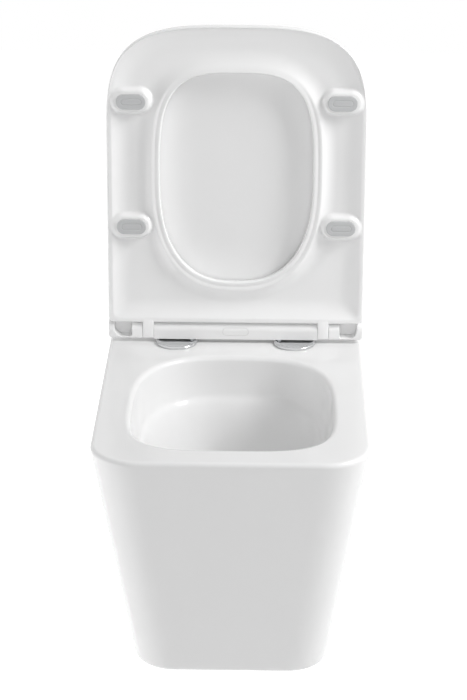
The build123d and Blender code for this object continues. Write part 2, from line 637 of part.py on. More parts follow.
seat = layers(
    seat_outline,
    ((SEAT_OVER, 3.0), (0.0, 1.0), (2.0, 0.0), (9.5, 0.0), (10.5, 0.4), (SEAT_UNDER, 1.3)),
)
opening = layers(
    lambda t, grow: hole(t, grow), ((SEAT_OVER - 0.1, 2.6), (1.5, 0.3), (3.0, 0.0), (10.2, 0.0), (11.1, 0.8))
)
TROUGH_END = SEAT_UNDER - TROUGH_DEEP
trough = layers(seat_outline, ((SEAT_UNDER + 0.1, RIM_LAND), (7.0, RIM_LAND + 2.5), (TROUGH_END, 15.0)))
trough = trough - layers(hole, ((SEAT_UNDER + 0.2, 6.5), (7.0, 9.0), (TROUGH_END - 0.1, 15.0)))
bosses = []
for side in (-1, 1):
    for x, s in BUFFERS.values():
        foot = Plane(at(side * x, s, TROUGH_END - 1), x_dir=(1, 0, 0), z_dir=(0, 0, -1))
        bosses.append(extrude(foot * SlotOverall(BOSS_LONG, BOSS_WIDE), BOSS_TOP - TROUGH_END + 1))
seat = seat - opening - trough
for boss in bosses:
    seat = seat + boss
for side in (-1, 1):
    ear = along_x(ear_profile(), side * EAR_IN, side * EAR_OUT)
    seat = seat + ear
square_way = Box(40, SHAFT_FLATS, SHAFT_FLATS)
seat = seat - Pos(-(EAR_IN + EAR_OUT) / 2, AXIS_Y, AXIS_Z) * square_way
seat = seat - rod(5.5, (EAR_IN - 1, AXIS_Y, AXIS_Z), (EAR_OUT + 1, AXIS_Y, AXIS_Z))
save(raised(one(seat)), "seat_ring")

ear_bush = rod(5.5, (EAR_IN, AXIS_Y, AXIS_Z), (EAR_OUT, AXIS_Y, AXIS_Z))
ear_bush = ear_bush - rod(SHAFT_R + RUN, (EAR_IN - 1, AXIS_Y, AXIS_Z), (EAR_OUT + 1, AXIS_Y, AXIS_Z))
save(raised(ear_bush), "ear_bush")

seat_shaft = rod(SHAFT_R, (-84.3, AXIS_Y, AXIS_Z), (-EAR_IN, AXIS_Y, AXIS_Z))
seat_shaft = seat_shaft + Pos(-(EAR_IN + EAR_OUT) / 2, AXIS_Y, AXIS_Z) * Box(
    EAR_OUT - EAR_IN, SHAFT_FLATS, SHAFT_FLATS
)
seat_shaft = seat_shaft + rod(PIVOT_R, (-EAR_OUT, AXIS_Y, AXIS_Z), (-138, AXIS_Y, AXIS_Z))
save(raised(seat_shaft), "seat_shaft")

for name, (x, s) in BUFFERS.items():
    foot = Plane(at(x, s, BOSS_TOP), x_dir=(1, 0, 0), z_dir=(0, 0, -1))
    buffer = extrude(foot * SlotOverall(BUFFER_LONG, BUFFER_WIDE), BUFFER_TOP - BOSS_TOP)
    buffer = fillet(buffer.edges().group_by(Axis.Z)[0], 1.0)
    face = Plane(at(x, s, BUFFER_TOP - 0.6), x_dir=(1, 0, 0), z_dir=(0, 0, -1))
    groove = extrude(face * SlotOverall(26.0, 7.0), 2.0)
    both_sides(raised(buffer - groove), "seat_buffer_" + name)

lid = layers(
    lid_outline,
    (
        (LID_INNER, 0.8),
        (-3.8, 0.0),
        (-7.5, 0.3),
        (-10.0, 1.6),
        (-11.3, 3.4),
        (LID_OUTER, 6.5),
    ),
)
dish = layers(
    lid_outline,
    ((LID_INNER + 0.1, 15.0), (-4.2, 20.0), (-6.0, 30.0), (-7.5, 46.0), (LID_INNER - DISH_DEEP, 70.0)),
)
lid = lid - dish
knuckle_plan = Plane((0, 0, AXIS_Z - 20)) * Pos(SEAT_HALF - 45, AXIS_Y + BAR_R - 35)
knuckle_plan = extrude(knuckle_plan * RectangleRounded(90.0, 70.0, 9.0), 50.0)
knuckle = along_x(knuckle_profile(), KNUCKLE_IN, SEAT_HALF) & knuckle_plan
lid = lid + knuckle + mirror(knuckle, about=Plane.YZ)
pocket = extrude(pocket_face(), 17.0)
lid = lid - pocket - mirror(pocket, about=Plane.YZ)
lid = lid - rod(4.5, (-KNUCKLE_IN + 1, AXIS_Y, AXIS_Z), (-138.2, AXIS_Y, AXIS_Z))
lid = lid - Pos((KNUCKLE_IN + 138.0) / 2, AXIS_Y, AXIS_Z) * Box(11.5, SHAFT_FLATS, SHAFT_FLATS)
save(raised(one(lid)), "lid_panel")

knuckle_bush = rod(4.5, (-KNUCKLE_IN, AXIS_Y, AXIS_Z), (-138.2, AXIS_Y, AXIS_Z))
knuckle_bush = knuckle_bush - rod(PIVOT_R + RUN, (-120, AXIS_Y, AXIS_Z), (-140, AXIS_Y, AXIS_Z))
save(raised(knuckle_bush), "knuckle_bush")

lid_shaft = rod(SHAFT_R, (84.3, AXIS_Y, AXIS_Z), (EAR_OUT, AXIS_Y, AXIS_Z))
lid_shaft = lid_shaft + Pos((KNUCKLE_IN + 138.0) / 2 - 0.25, AXIS_Y, AXIS_Z) * Box(
    12.0, SHAFT_FLATS, SHAFT_FLATS
)
save(raised(lid_shaft), "lid_shaft")

for name, (x, s) in LID_BUFFERS.items():
    dot = rod(5.0, at(x, s, LID_INNER), at(x, s, SEAT_OVER - 0.1))
    both_sides(raised(fillet(dot.edges().group_by(Axis.Z)[0], 0.6)), "lid_buffer_" + name)
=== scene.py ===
# %% [markdown]
# # A wall hung toilet, lesson by lesson
# The real object is one large glazed casting, a pressed plastic seat and lid, and a handful of
# small metal and rubber parts. The engineering model gives every size, place and hinge. This
# notebook dresses it: each cell makes one visible piece as a smooth surface, gives it the finish
# of its real material, and says which body it moves with.

import json
import math

import bmesh
import bpy
import numpy as np
from mathutils import Matrix, Vector


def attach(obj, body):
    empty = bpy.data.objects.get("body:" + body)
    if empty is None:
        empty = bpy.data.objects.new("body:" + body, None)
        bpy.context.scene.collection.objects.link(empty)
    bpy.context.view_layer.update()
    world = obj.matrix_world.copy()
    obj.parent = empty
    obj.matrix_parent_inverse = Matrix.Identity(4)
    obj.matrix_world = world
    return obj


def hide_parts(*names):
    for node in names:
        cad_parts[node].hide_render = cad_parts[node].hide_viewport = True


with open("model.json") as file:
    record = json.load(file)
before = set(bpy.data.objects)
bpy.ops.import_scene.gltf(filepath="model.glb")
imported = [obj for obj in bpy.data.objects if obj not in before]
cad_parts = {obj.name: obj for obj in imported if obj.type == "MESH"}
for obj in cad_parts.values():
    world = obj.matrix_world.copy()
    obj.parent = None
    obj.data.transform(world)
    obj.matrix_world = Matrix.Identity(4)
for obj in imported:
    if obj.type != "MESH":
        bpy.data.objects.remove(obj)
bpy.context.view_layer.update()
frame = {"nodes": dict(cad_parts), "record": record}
MM = 0.001
QUARTER = math.pi / 2
SIDES = ((1, "right"), (-1, "left"))
PAN_BODY = "pan_and_hinge_bar"

# %% [markdown]
# ## Colours and shader nodes
# A maker's colour chart gives sRGB values, while a renderer mixes linear light, so one function
# turns a hex colour into linear. A material is a small tree of nodes, and one helper adds a node
# with its settings and links, which keeps each material a few lines long.


# %% Colour and node helpers
def linear(hex_colour):
    """Undoes the sRGB curve: c / 12.92 below 0.04045, else ((c + 0.055) / 1.055) ^ 2.4."""
    channels = [int(hex_colour[i : i + 2], 16) / 255 for i in (1, 3, 5)]
    return [c / 12.92 if c <= 0.04045 else ((c + 0.055) / 1.055) ** 2.4 for c in channels] + [1.0]


def node(tree, kind, settings=None, inputs=None, **links):
    """Adds one shader node, sets its properties and inputs, and links sockets by input name."""
    made = tree.nodes.new(kind)
    for key, value in (settings or {}).items():
        setattr(made, key, value)
    for key, value in (inputs or {}).items():
        made.inputs[key].default_value = value
    for key, socket in links.items():
        tree.links.new(socket, made.inputs[key.replace("_", " ")])
    return made


print("mid grey in linear light", round(linear("#808080")[0], 3))

# %% [markdown]
# ## From a grid of points to a piece
# Nearly every surface here is a grid: rows run along a profile, columns run around the piece. So
# the points are worked out as whole arrays, and the faces always follow the same pattern. The
# last row or column can join the first, and an open end can get one face as a cap.


# %% Grid and mesh helpers
def grid_faces(rows, columns, close_rows=False, keep=None):
    """Quads between neighbouring rows and columns, whose columns close into a ring.

    keep is a mask of the cells that stay.
    """
    row = np.arange(rows if close_rows else rows - 1)[:, None]
    column = np.arange(columns)[None, :]
    next_row = (row + 1) % rows
    next_column = (column + 1) % columns
    corners = (
        row * columns + column,
        row * columns + next_column,
        next_row * columns + next_column,
        next_row * columns + column,
    )
    quads = np.stack(corners, axis=-1)
    return quads.reshape(-1, 4) if keep is None else quads[keep]


def add_mesh(name, points, faces, material, body, flip=False):
    """Puts points, in millimetres, and faces into a smooth mesh object that rides on a body."""
    if flip:
        faces = [face[::-1] for face in faces]
    mesh = bpy.data.meshes.new(name)
    places = np.asarray(points, float).reshape(-1, 3) * MM
    mesh.from_pydata(places, [], [list(map(int, face)) for face in faces])
    mesh.validate()
    mesh.polygons.foreach_set("use_smooth", np.full(len(mesh.polygons), True))
    mesh.materials.append(material)
    piece = bpy.data.objects.new(name, mesh)
    bpy.context.collection.objects.link(piece)
    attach(piece, body)
    print(name, len(mesh.vertices), "points", len(mesh.polygons), "faces")
    return piece


def grid_piece(name, points, material, body, flip=False, caps=("first", "last"), loop=False):
    """A grid of points as one piece; caps close its end rows, loop joins the last to the first."""
    rows, columns = points.shape[:2]
    faces = list(grid_faces(rows, columns, close_rows=loop))
    if "first" in caps:
        faces.append(np.arange(columns)[::-1])
    if "last" in caps:
        faces.append((rows - 1) * columns + np.arange(columns))
    return add_mesh(name, points, faces, material, body, flip)


def ease(t):
    """A smooth step from 0 to 1, 3 t^2 - 2 t^3, flat at both ends."""
    t = np.clip(t, 0.0, 1.0)
    return t * t * (3 - 2 * t)


def lerp(a, b, t):
    """A straight blend, a + (b - a) t."""
    return a + (b - a) * t


# %% [markdown]
# ## The finishes
# Each finish is named for its real material and for how its surface was made. A glossy surface
# shows its shape in its reflections, so two kinds of unevenness matter: a slow waviness that
# bends them, and a fine grain that softens them. Both come from noise of a real size in
# millimetres, and the finest are drawn coarser than they are, so that they show at all.

# %% The finish function
PATCH_MM = 60.0


def finish(
    name,
    colour,
    roughness,
    metallic=0.0,
    ior=1.5,
    wave_mm=0.0,
    wave_deep=0.0,
    grain_mm=0.0,
    grain_deep=0.0,
    mottle=0.0,
):
    """A surface with a slow waviness, a fine grain and a slight mottle of its colour."""
    material = bpy.data.materials.new(name)
    material.use_nodes = True
    tree = material.node_tree
    shader = tree.nodes["Principled BSDF"]
    shader.inputs["Base Color"].default_value = linear(colour)
    shader.inputs["Roughness"].default_value = roughness
    shader.inputs["Metallic"].default_value = metallic
    if not metallic:
        shader.inputs["IOR"].default_value = ior
    place = node(tree, "ShaderNodeTexCoord").outputs["Object"]
    normal = None
    for size, deep, detail in ((wave_mm, wave_deep, 1.0), (grain_mm, grain_deep, 4.0)):
        if not size:
            continue
        scale = {"Scale": 1 / (size * MM), "Detail": detail}
        noise = node(tree, "ShaderNodeTexNoise", inputs=scale, Vector=place)
        depth = {"Distance": deep * MM, "Strength": 1.0}
        bump = node(tree, "ShaderNodeBump", inputs=depth, Height=noise.outputs["Fac"])
        if normal:
            tree.links.new(normal, bump.inputs["Normal"])
        normal = bump.outputs["Normal"]
    if normal:
        tree.links.new(normal, shader.inputs["Normal"])
    if mottle:
        scale = {"Scale": 1 / (PATCH_MM * MM), "Detail": 3.0}
        patches = node(tree, "ShaderNodeTexNoise", inputs=scale, Vector=place)
        amount = patches.outputs["Fac"]
        mixing = {"data_type": "RGBA"}
        tint = node(tree, "ShaderNodeMix", mixing, {"A": linear(colour)}, Factor=amount)
        tint.inputs["B"].default_value = [c * (1 - mottle) for c in linear(colour)[:3]] + [1.0]
        tree.links.new(tint.outputs["Result"], shader.inputs["Base Color"])
    return material


# %% [markdown]
# ## Clay, resin, plastic and rubber
# China, resin and ABS are all white here, so only their gloss tells them apart: the glaze is the
# smoothest and the waviest, pressed resin is flat, and moulded ABS a little duller. Rubber and
# nylon hardly shine.

# %% Clay, resin, plastic and rubber
# Glazed vitreous china: a thick glassy glaze, so reflections are sharp but waver a little.
glaze = dict(wave_mm=70, wave_deep=0.25, grain_mm=3.0, grain_deep=0.004, mottle=0.012)
china = finish("vitreous_china_glazed", "#F2F2F2", 0.12, ior=1.42, **glaze)
# The same clay out of sight, where the glaze is thin: warmer, and only half glossy.
china_raw = finish(
    "vitreous_china_thin_glaze", "#E9E8E4", 0.32, grain_mm=2.0, grain_deep=0.03, mottle=0.05
)
# Urea resin pressed hot in a polished mould: white, flat and even.
resin = finish("urea_resin_pressed", "#F5F5F5", 0.13, wave_mm=120, wave_deep=0.12)
# Injection moulded ABS: a slightly softer gloss than the resin.
bar_plastic = finish("abs_moulded_gloss", "#F2F2F2", 0.16, wave_mm=60, wave_deep=0.05)
# Moulded acetal, nylon and rubber: nearly matte, with the mould's fine grain.
acetal = finish("acetal_moulded_white", "#E4E4E0", 0.38, grain_mm=0.7, grain_deep=0.01)
nylon = finish("nylon_moulded_grey", "#8E9092", 0.5, grain_mm=0.7, grain_deep=0.03)
black_plastic = finish("nylon_moulded_black", "#1E1F20", 0.42, grain_mm=0.7, grain_deep=0.02)
soft_grey = finish("rubber_moulded_grey", "#C6C7C8", 0.45, grain_mm=0.8, grain_deep=0.02)
black_rubber = finish("rubber_moulded_black", "#191919", 0.6, grain_mm=0.8, grain_deep=0.03)
print("plastics", resin.name, bar_plastic.name, acetal.name, nylon.name)

# %% [markdown]
# ## Metals
# A metal's colour is the colour of its reflections, so metals have metallic 1 and the default
# IOR. Their tint, and how far tool marks or plating blur the reflection, tell them apart.

# %% Metals
# Polished chrome plate: close to a mirror, a little darker than the white around it.
plate = dict(metallic=1.0, wave_mm=25, wave_deep=0.01)
chrome = finish("chrome_plated_polished", "#CFD0D1", 0.045, **plate)
# Turned steel, zinc plate and machined brass: satin, from fine tool marks or plating crystals.
steel = finish("steel_turned_plated", "#B9BBBE", 0.24, metallic=1.0, grain_mm=0.6, grain_deep=0.01)
zinc = finish("steel_zinc_plated", "#C6C8CC", 0.34, metallic=1.0, grain_mm=1.5, grain_deep=0.02)
brass = finish("brass_machined", "#C9A969", 0.28, metallic=1.0, grain_mm=0.6, grain_deep=0.01)
print("metals", chrome.name, steel.name, zinc.name, brass.name)

# %% [markdown]
# ## Camera
# The picture is a studio cut-out, taken with a long lens from a little above. The camera's place,
# aim and roll were worked out from the seat's size and the outline in the picture. Three axes make
# its rotation: sideways, upward, and back against the view.

# %% Camera
EYE = Vector((47.84, -3121.25, 1200.31)) * MM
AIM = Vector((1.10, -309.45, 155.52)) * MM
ROLL = math.radians(0.271)
FOCAL_PX = 2382.8
FRAME_PX = 700.0
SENSOR_MM = 36.0

forward = (AIM - EYE).normalized()
sideways = forward.cross(Vector((0, 0, 1))).normalized()
upward = sideways.cross(forward)
rolled_side = math.cos(ROLL) * sideways + math.sin(ROLL) * upward
rolled_up = math.cos(ROLL) * upward - math.sin(ROLL) * sideways
lens = bpy.data.cameras.new("camera")
lens.sensor_width = SENSOR_MM
lens.lens = FOCAL_PX * SENSOR_MM / FRAME_PX
camera = bpy.data.objects.new("camera", lens)
bpy.context.collection.objects.link(camera)
facing = Matrix((rolled_side, rolled_up, -forward)).transposed()
camera.matrix_world = Matrix.Translation(EYE) @ facing.to_4x4()
bpy.context.scene.camera = camera
print("lens", round(lens.lens, 1), "mm")

# %% [markdown]
# ## Light
# Large soft panels stand all round, as in a studio. One at the upper right is the strongest. It
# alone shows in the gloss, as one highlight in the bowl, and the others only fill the shadows.

# %% Lamps: name, place in metres, width and height, power in watts, and whether gloss shows it
LAMP_AIM = (0, -0.2, 0.05)
LAMPS = (
    ("panel_right_high", (1.9, -0.7, 1.9), (1.0, 1.0), 47.5, True),
    ("panel_right_side", (2.4, -0.15, 0.4), (1.0, 1.6), 3.8, False),
    ("panel_right_low", (2.1, -0.9, -0.35), (0.5, 0.6), 3.5, False),
    ("panel_left_side", (-2.4, -0.25, 0.2), (1.0, 1.6), 17.7, False),
    ("panel_left_low", (-2.0, -0.3, -0.6), (1.0, 0.6), 5.4, False),
    ("panel_front", (0.0, -3.0, 0.6), (2.0, 1.6), 15.4, False),
    ("panel_back", (0.3, 1.4, 1.6), (2.0, 1.0), 7.6, False),
)
bpy.context.scene.view_settings.view_transform = "Standard"
for lamp_name, place, (wide, high), power, mirrored in LAMPS:
    lamp = bpy.data.lights.new(lamp_name, "AREA")
    lamp.shape = "RECTANGLE"
    lamp.size, lamp.size_y = wide, high
    lamp.energy = power
    holder = bpy.data.objects.new(lamp_name, lamp)
    holder.location = place
    holder.rotation_euler = (Vector(LAMP_AIM) - Vector(place)).to_track_quat("-Z", "Y").to_euler()
    holder.visible_glossy = mirrored
    bpy.context.collection.objects.link(holder)
print("lamps", len(LAMPS), "watts", round(sum(lamp[3] for lamp in LAMPS), 1))

# %% [markdown]
# ## A white surround
# The backdrop has to be white in the picture without lighting the object more. Light Path tells
# what kind of ray asks: the camera's own rays, reflections and rays through glass see pure white,
# while soft light from the surround is a dim glow.

# %% World
GLOW = 0.312
WHITE = (1, 1, 1, 1)


def sees_backdrop(tree):
    """1 for rays from the camera, from gloss and through glass, and 0 for soft light."""
    path = node(tree, "ShaderNodeLightPath")
    total = path.outputs["Is Camera Ray"]
    for kind in ("Is Glossy Ray", "Is Transmission Ray"):
        both = node(tree, "ShaderNodeMath", {"operation": "ADD", "use_clamp": True})
        tree.links.new(total, both.inputs[0])
        tree.links.new(path.outputs[kind], both.inputs[1])
        total = both.outputs[0]
    return total


world = bpy.data.worlds.new("studio")
bpy.context.scene.world = world
world.use_nodes = True
sky = world.node_tree
sky.nodes.clear()
seen = node(sky, "ShaderNodeBackground", inputs={"Color": WHITE, "Strength": 1.0})
glow = node(sky, "ShaderNodeBackground", inputs={"Color": WHITE, "Strength": GLOW})
mixed = node(sky, "ShaderNodeMixShader", Fac=sees_backdrop(sky))
sky.links.new(glow.outputs["Background"], mixed.inputs[1])
sky.links.new(seen.outputs["Background"], mixed.inputs[2])
node(sky, "ShaderNodeOutputWorld", Surface=mixed.outputs["Shader"])
print("world glow", GLOW)

# %% [markdown]
# ## Floor
# The floor is matte paint that takes the lamps' light and the object's shadow. For the camera it
# also glows a little, which lifts it to white everywhere except in the shadow.

# %% Floor
FLOOR_Z = -0.95
FLOOR_HALF = 6
FLOOR_GLOW = 0.76
floor_mat = bpy.data.materials.new("studio_floor")
floor_mat.use_nodes = True
floor_tree = floor_mat.node_tree
floor_tree.nodes.clear()
paint = node(floor_tree, "ShaderNodeBsdfDiffuse", inputs={"Color": (0.8, 0.8, 0.8, 1)})
lift = node(floor_tree, "ShaderNodeEmission", inputs={"Color": WHITE, "Strength": FLOOR_GLOW})
lit = node(floor_tree, "ShaderNodeAddShader")
floor_tree.links.new(paint.outputs["BSDF"], lit.inputs[0])
floor_tree.links.new(lift.outputs["Emission"], lit.inputs[1])
floor_mix = node(floor_tree, "ShaderNodeMixShader", Fac=sees_backdrop(floor_tree))
floor_tree.links.new(paint.outputs["BSDF"], floor_mix.inputs[1])
floor_tree.links.new(lit.outputs["Shader"], floor_mix.inputs[2])
node(floor_tree, "ShaderNodeOutputMaterial", Surface=floor_mix.outputs["Shader"])
floor_mesh = bpy.data.meshes.new("studio_floor")
signs = ((-1, -1), (1, -1), (1, 1), (-1, 1))
corners = [(x * FLOOR_HALF, y * FLOOR_HALF, FLOOR_Z) for x, y in signs]
floor_mesh.from_pydata(corners, [], [(0, 1, 2, 3)])
floor_mesh.materials.append(floor_mat)
floor = bpy.data.objects.new("studio_floor", floor_mesh)
bpy.context.collection.objects.link(floor)
print("floor at", FLOOR_Z, "m")

# %% [markdown]
# ## The pan
# The casting is hollow clay about ten millimetres thick, so its skin is one closed surface. The
# outside runs from the trap's throat up the bowl, over the lip, across the deck, round the outer
# edge and down the tapered sides to the foot. The inside runs from the same throat up the bowl's
# underside, along the deck's underside and down the inner walls. Both are grids with the same
# columns: each column is a line that leaves the bowl, and each row is one closed ring. They meet
# at the throat and round the open back, where the pan sits against the wall. Joined and bevelled
# boxes would be quicker, but they leave creases, and a glaze shows every crease.

# %% Sizes of the pan
TOP = dict(half=172.0, front=-500.0, corner=62.0, z=80.0)
FOOT = dict(half=125.0, front=-377.0, corner=54.0, z=-265.0)
TALL = TOP["z"] - FOOT["z"]
EDGE_R = 5.0
FOOT_R = 14.0
LIP_R = 7.5
SKIN = 10.0
WALL = 9.5
CEILING_Z = 68.0
print("pan", 2 * TOP["half"], "wide", TALL, "high", -TOP["front"], "deep")

# %% [markdown]
# ## Columns of the pan
# Seen from above, the pan is a D: straight sides, round front corners and a flat back. Every
# stretch of the D has a fixed number of columns, so a column keeps its place on every ring, and
# the taper from deck to foot is a straight line down each column.

# %% Columns
SIDE_T = np.linspace(0, 1, 44)[:-1]
ARC_T = np.linspace(0, 1, 25)[:-1]
FRONT_T = np.linspace(0, 1, 40)[:-1]
BACK_T = np.linspace(-1, 1, 61)


def d_section(half, front, corner, back=0.0, land=SKIN):
    """Columns of a D: right side, right arc, front, left arc, left side, then the back line.

    Each stretch is a straight lerp or a quarter circle. The back line has one column a land's
    width in from each corner.
    """
    zero = np.zeros_like(SIDE_T)
    turned = ARC_T * QUARTER
    span = half - corner
    side_right = [half + zero, back + (front + corner - back) * SIDE_T]
    arc_right = [span + corner * np.cos(turned), front + corner - corner * np.sin(turned)]
    across = [span - 2 * span * FRONT_T, front + 0 * FRONT_T]
    arc_left = [-span - corner * np.sin(turned), front + corner - corner * np.cos(turned)]
    side_left = [-half + zero, front + corner + (back - front - corner) * SIDE_T]
    inner = np.concatenate([[-half], (half - land) * BACK_T])
    stretches = (side_right, arc_right, across, arc_left, side_left, [inner, back + 0 * inner])
    return np.stack([np.concatenate(parts) for parts in zip(*stretches)], axis=-1)


def section_at(z, inset=0.0, land=SKIN):
    """The tapered D at height z: every size runs straight from the foot to the top."""
    f = (z - FOOT["z"]) / TALL
    half, front, corner = (lerp(FOOT[k], TOP[k], f) for k in ("half", "front", "corner"))
    return d_section(half - inset, front + inset, corner - inset, 0.0, land)


top_ring = section_at(TOP["z"])
foot_flat = section_at(FOOT["z"])
columns = len(top_ring)
rear_first = columns - len(BACK_T) - 1
rear = np.arange(columns) >= rear_first
print("columns", columns, "of which along the back", rear.sum())

# %% [markdown]
# ## How much the skin leans
# The sides lean out by about eight degrees and the front by about twenty. The lean, together with
# the outward direction at each column, lets every rounded edge be rolled square to the real
# surface.

# %% Outward direction and lean
SMALLEST_LEAN = 0.12
outward = top_ring - d_section(TOP["half"] - 1, TOP["front"] + 1, TOP["corner"] - 1, back=-1.0)
taper = ((top_ring - foot_flat) * outward).sum(-1) / TALL
lean = np.arctan(np.maximum(taper / np.maximum((outward**2).sum(-1), 1), SMALLEST_LEAN))
print("skin leans", np.degrees(lean).min().round(1), "to", np.degrees(lean).max().round(1))

# %% [markdown]
# ## The bowl
# A glazed bowl has no sharp edges, because the glaze fills every hollow and thins on every ridge.
# So the bowl's rings are named at fifteen heights, and a B-spline is drawn along their sizes: it
# rounds each change of slope, such as the soft roll a quarter of the way down.

# %% Bowl: height, half width, back, widest line, front, squareness at the back and at the front
BOWL = np.array(
    (
        (72.5, 127.4, -132.0, -305.0, -451.9, 2.8, 3.8),
        (60.0, 125.9, -133.2, -305.0, -450.6, 2.8, 3.8),
        (44.0, 123.6, -135.2, -305.0, -448.2, 2.8, 3.8),
        (33.0, 121.4, -137.2, -305.0, -446.2, 2.75, 3.7),
        (26.5, 119.8, -138.6, -305.0, -445.0, 2.75, 3.7),
        (22.5, 117.6, -140.5, -304.5, -443.1, 2.7, 3.6),
        (18.5, 114.8, -142.9, -304.0, -440.8, 2.7, 3.6),
        (12.5, 112.4, -145.2, -303.0, -438.2, 2.7, 3.5),
        (4.0, 109.6, -147.8, -301.0, -434.2, 2.65, 3.35),
        (-10.0, 105.8, -150.7, -296.5, -426.2, 2.6, 3.2),
        (-30.0, 100.8, -154.0, -290.0, -413.0, 2.5, 3.0),
        (-60.0, 92.0, -158.6, -277.0, -390.0, 2.4, 2.8),
        (-95.0, 79.6, -163.2, -260.0, -356.0, 2.3, 2.5),
        (-125.0, 68.0, -167.5, -247.0, -327.0, 2.2, 2.3),
        (-142.0, 61.0, -170.5, -241.0, -311.5, 2.15, 2.15),
    )
)
BOWL_ROWS = 110
UNDERSIDE_ROWS = 60
mouth = BOWL[0]
drain = BOWL[-1]
angles = np.unwrap(np.arctan2(top_ring[:, 1] - mouth[3], top_ring[:, 0]))


def b_spline(control, count):
    """A uniform cubic B-spline along rows of sizes, with its ends tripled.

    Each point is the mean of four neighbours with the weights (1 - t)^3, 3 t^3 - 6 t^2 + 4,
    -3 t^3 + 3 t^2 + 3 t + 1 and t^3, over 6.
    """
    padded = np.concatenate([control[:1], control[:1], control, control[-1:], control[-1:]])
    u = np.linspace(0, len(padded) - 3, count)
    i = np.minimum(u.astype(int), len(padded) - 4)
    t = (u - i)[:, None]
    weights = ((1 - t) ** 3, 3 * t**3 - 6 * t**2 + 4, -3 * t**3 + 3 * t**2 + 3 * t + 1, t**3)
    return sum(w * padded[i + k] for k, w in enumerate(weights)) / 6


def oval(half, reach_back, reach_front, n_back, n_front):
    """Radii of two half super-ellipses, |x/a|^n + |y/b|^n = 1, along every column's angle."""
    c, s = np.cos(angles), np.sin(angles)
    n = np.where(s > 0, n_back, n_front)
    reach = np.where(s > 0, reach_back, reach_front)
    return (np.abs(c / half) ** n + np.abs(s / reach) ** n) ** (-1 / n)


def bowl_ring(sizes, grow=0.0, z_add=0.0):
    """One ring of the bowl as points; grow moves it out, z_add moves it up."""
    z, half, back, middle, front, n_back, n_front = sizes
    radius = oval(half + grow, back - middle + grow, middle - front + grow, n_back, n_front)
    x, y = radius * np.cos(angles), middle + radius * np.sin(angles)
    return np.stack([x, y, 0 * radius + z + z_add], axis=-1)


print("bowl", 2 * mouth[1], "wide", mouth[2] - mouth[4], "long", mouth[0] - drain[0], "deep")

# %% [markdown]
# ## The throat
# Below the bowl the water turns backwards into the trap. The bowl's lowest ring is swung about a
# level line behind it, a quarter turn, and shrinks to the trap's round bore on the way. So the
# same columns run on down the throat and no seam shows.

# %% Throat
TURN_LINE = np.array([-158.0, drain[0]])
THROAT_R = 31.8
THROAT_TOP = 12.0
THROAT_END_Y = -150.0
THROAT_STEP = 4.0
THROAT_ROWS = 22


def throat_ring(turned, grow=0.0):
    """The lowest ring turned by an angle; its middle, height and width shrink with the sine."""
    share = math.sin(turned)
    middle = lerp(TURN_LINE[0] - drain[3], THROAT_TOP + THROAT_R, share)
    high = lerp((drain[2] - drain[4]) / 2, THROAT_R, share) + grow
    wide = lerp(drain[1], THROAT_R, share) + grow
    n = lerp(drain[5], 2.0, share)
    radius = oval(wide, high, high, n, n)
    reach = middle - radius * np.sin(angles)
    y = TURN_LINE[0] - reach * math.cos(turned)
    z = TURN_LINE[1] - reach * math.sin(turned)
    return np.stack([radius * np.cos(angles), y, z], axis=-1)


def throat_rows(grow):
    """From the tube's end at the wall's side, round the bend, up to the bowl's lowest ring."""
    end = throat_ring(QUARTER, grow)
    tube_ends = (THROAT_END_Y, THROAT_END_Y - THROAT_STEP)
    tube = [end + (0.0, y - TURN_LINE[0], 0.0) for y in tube_ends]
    return tube + [throat_ring(a, grow) for a in np.linspace(QUARTER, 0, THROAT_ROWS)[:-1]]


joint_ring = throat_ring(QUARTER, WALL / 2) + (0.0, THROAT_END_Y + 3 - TURN_LINE[0], 0.0)
outer_rows = [joint_ring] + throat_rows(0.0)
outer_rows += [bowl_ring(sizes) for sizes in b_spline(BOWL[::-1], BOWL_ROWS)]
print("rows up to the lip", len(outer_rows))

# %% [markdown]
# ## Lip, deck and outer edge
# The bowl's lip is a quarter round, and the outer edge a smaller one. Between them the deck is
# flat, and its rows blend from the oval of the bowl to the D of the rim. The outer edge is a circle
# rolled into the corner between the level deck and the leaning skin, so its middle lies
# R (1 / cos a + tan a) inside the sharp edge, where a is the lean.

# %% Lip, deck and outer edge
DECK_ROWS = 18


def skin_ring(z, across=0.0):
    """The skin at height z, one height per column, moved out by across along each normal."""
    f = ((z - FOOT["z"]) / TALL)[:, None]
    flat = foot_flat + (top_ring - foot_flat) * f + outward * np.reshape(across, (-1, 1))
    return np.column_stack([flat, z])


def edge_ring(beta):
    """A ring on the outer edge; beta runs from 0, facing up, to 1, square to the skin."""
    turned = beta * (QUARTER + lean)
    z = TOP["z"] - EDGE_R + EDGE_R * np.cos(turned)
    across = -EDGE_R * (1 / np.cos(lean) + np.tan(lean)) + EDGE_R * np.sin(turned)
    return skin_ring(z, across + (TOP["z"] - z) * np.tan(lean))


for turned in np.linspace(0.12, 1, 10) * QUARTER:
    outer_rows.append(bowl_ring(mouth, LIP_R * (1 - math.cos(turned)), LIP_R * math.sin(turned)))
lip_top = outer_rows[-1]
for f in np.linspace(0, 1, DECK_ROWS)[1:-1]:
    outer_rows.append(lerp(lip_top, edge_ring(0.0), f))
outer_rows += [edge_ring(beta) for beta in np.linspace(0, 1, 9)]
print("rows to the outer edge", len(outer_rows))

# %% [markdown]
# ## Skin, foot and underside
# The skin runs straight down and turns under with a larger round. Along the back there is no
# skin, because the casting is open to the wall, so those cells are left out between the ceiling
# and the foot. The underside closes to a point in its middle.

# %% Skin and foot
SKIN_HEIGHTS = [CEILING_Z] + list(np.linspace(60, -248, 44))
SOLE_MIDDLE = np.array([0.0, -180.0, FOOT["z"]])


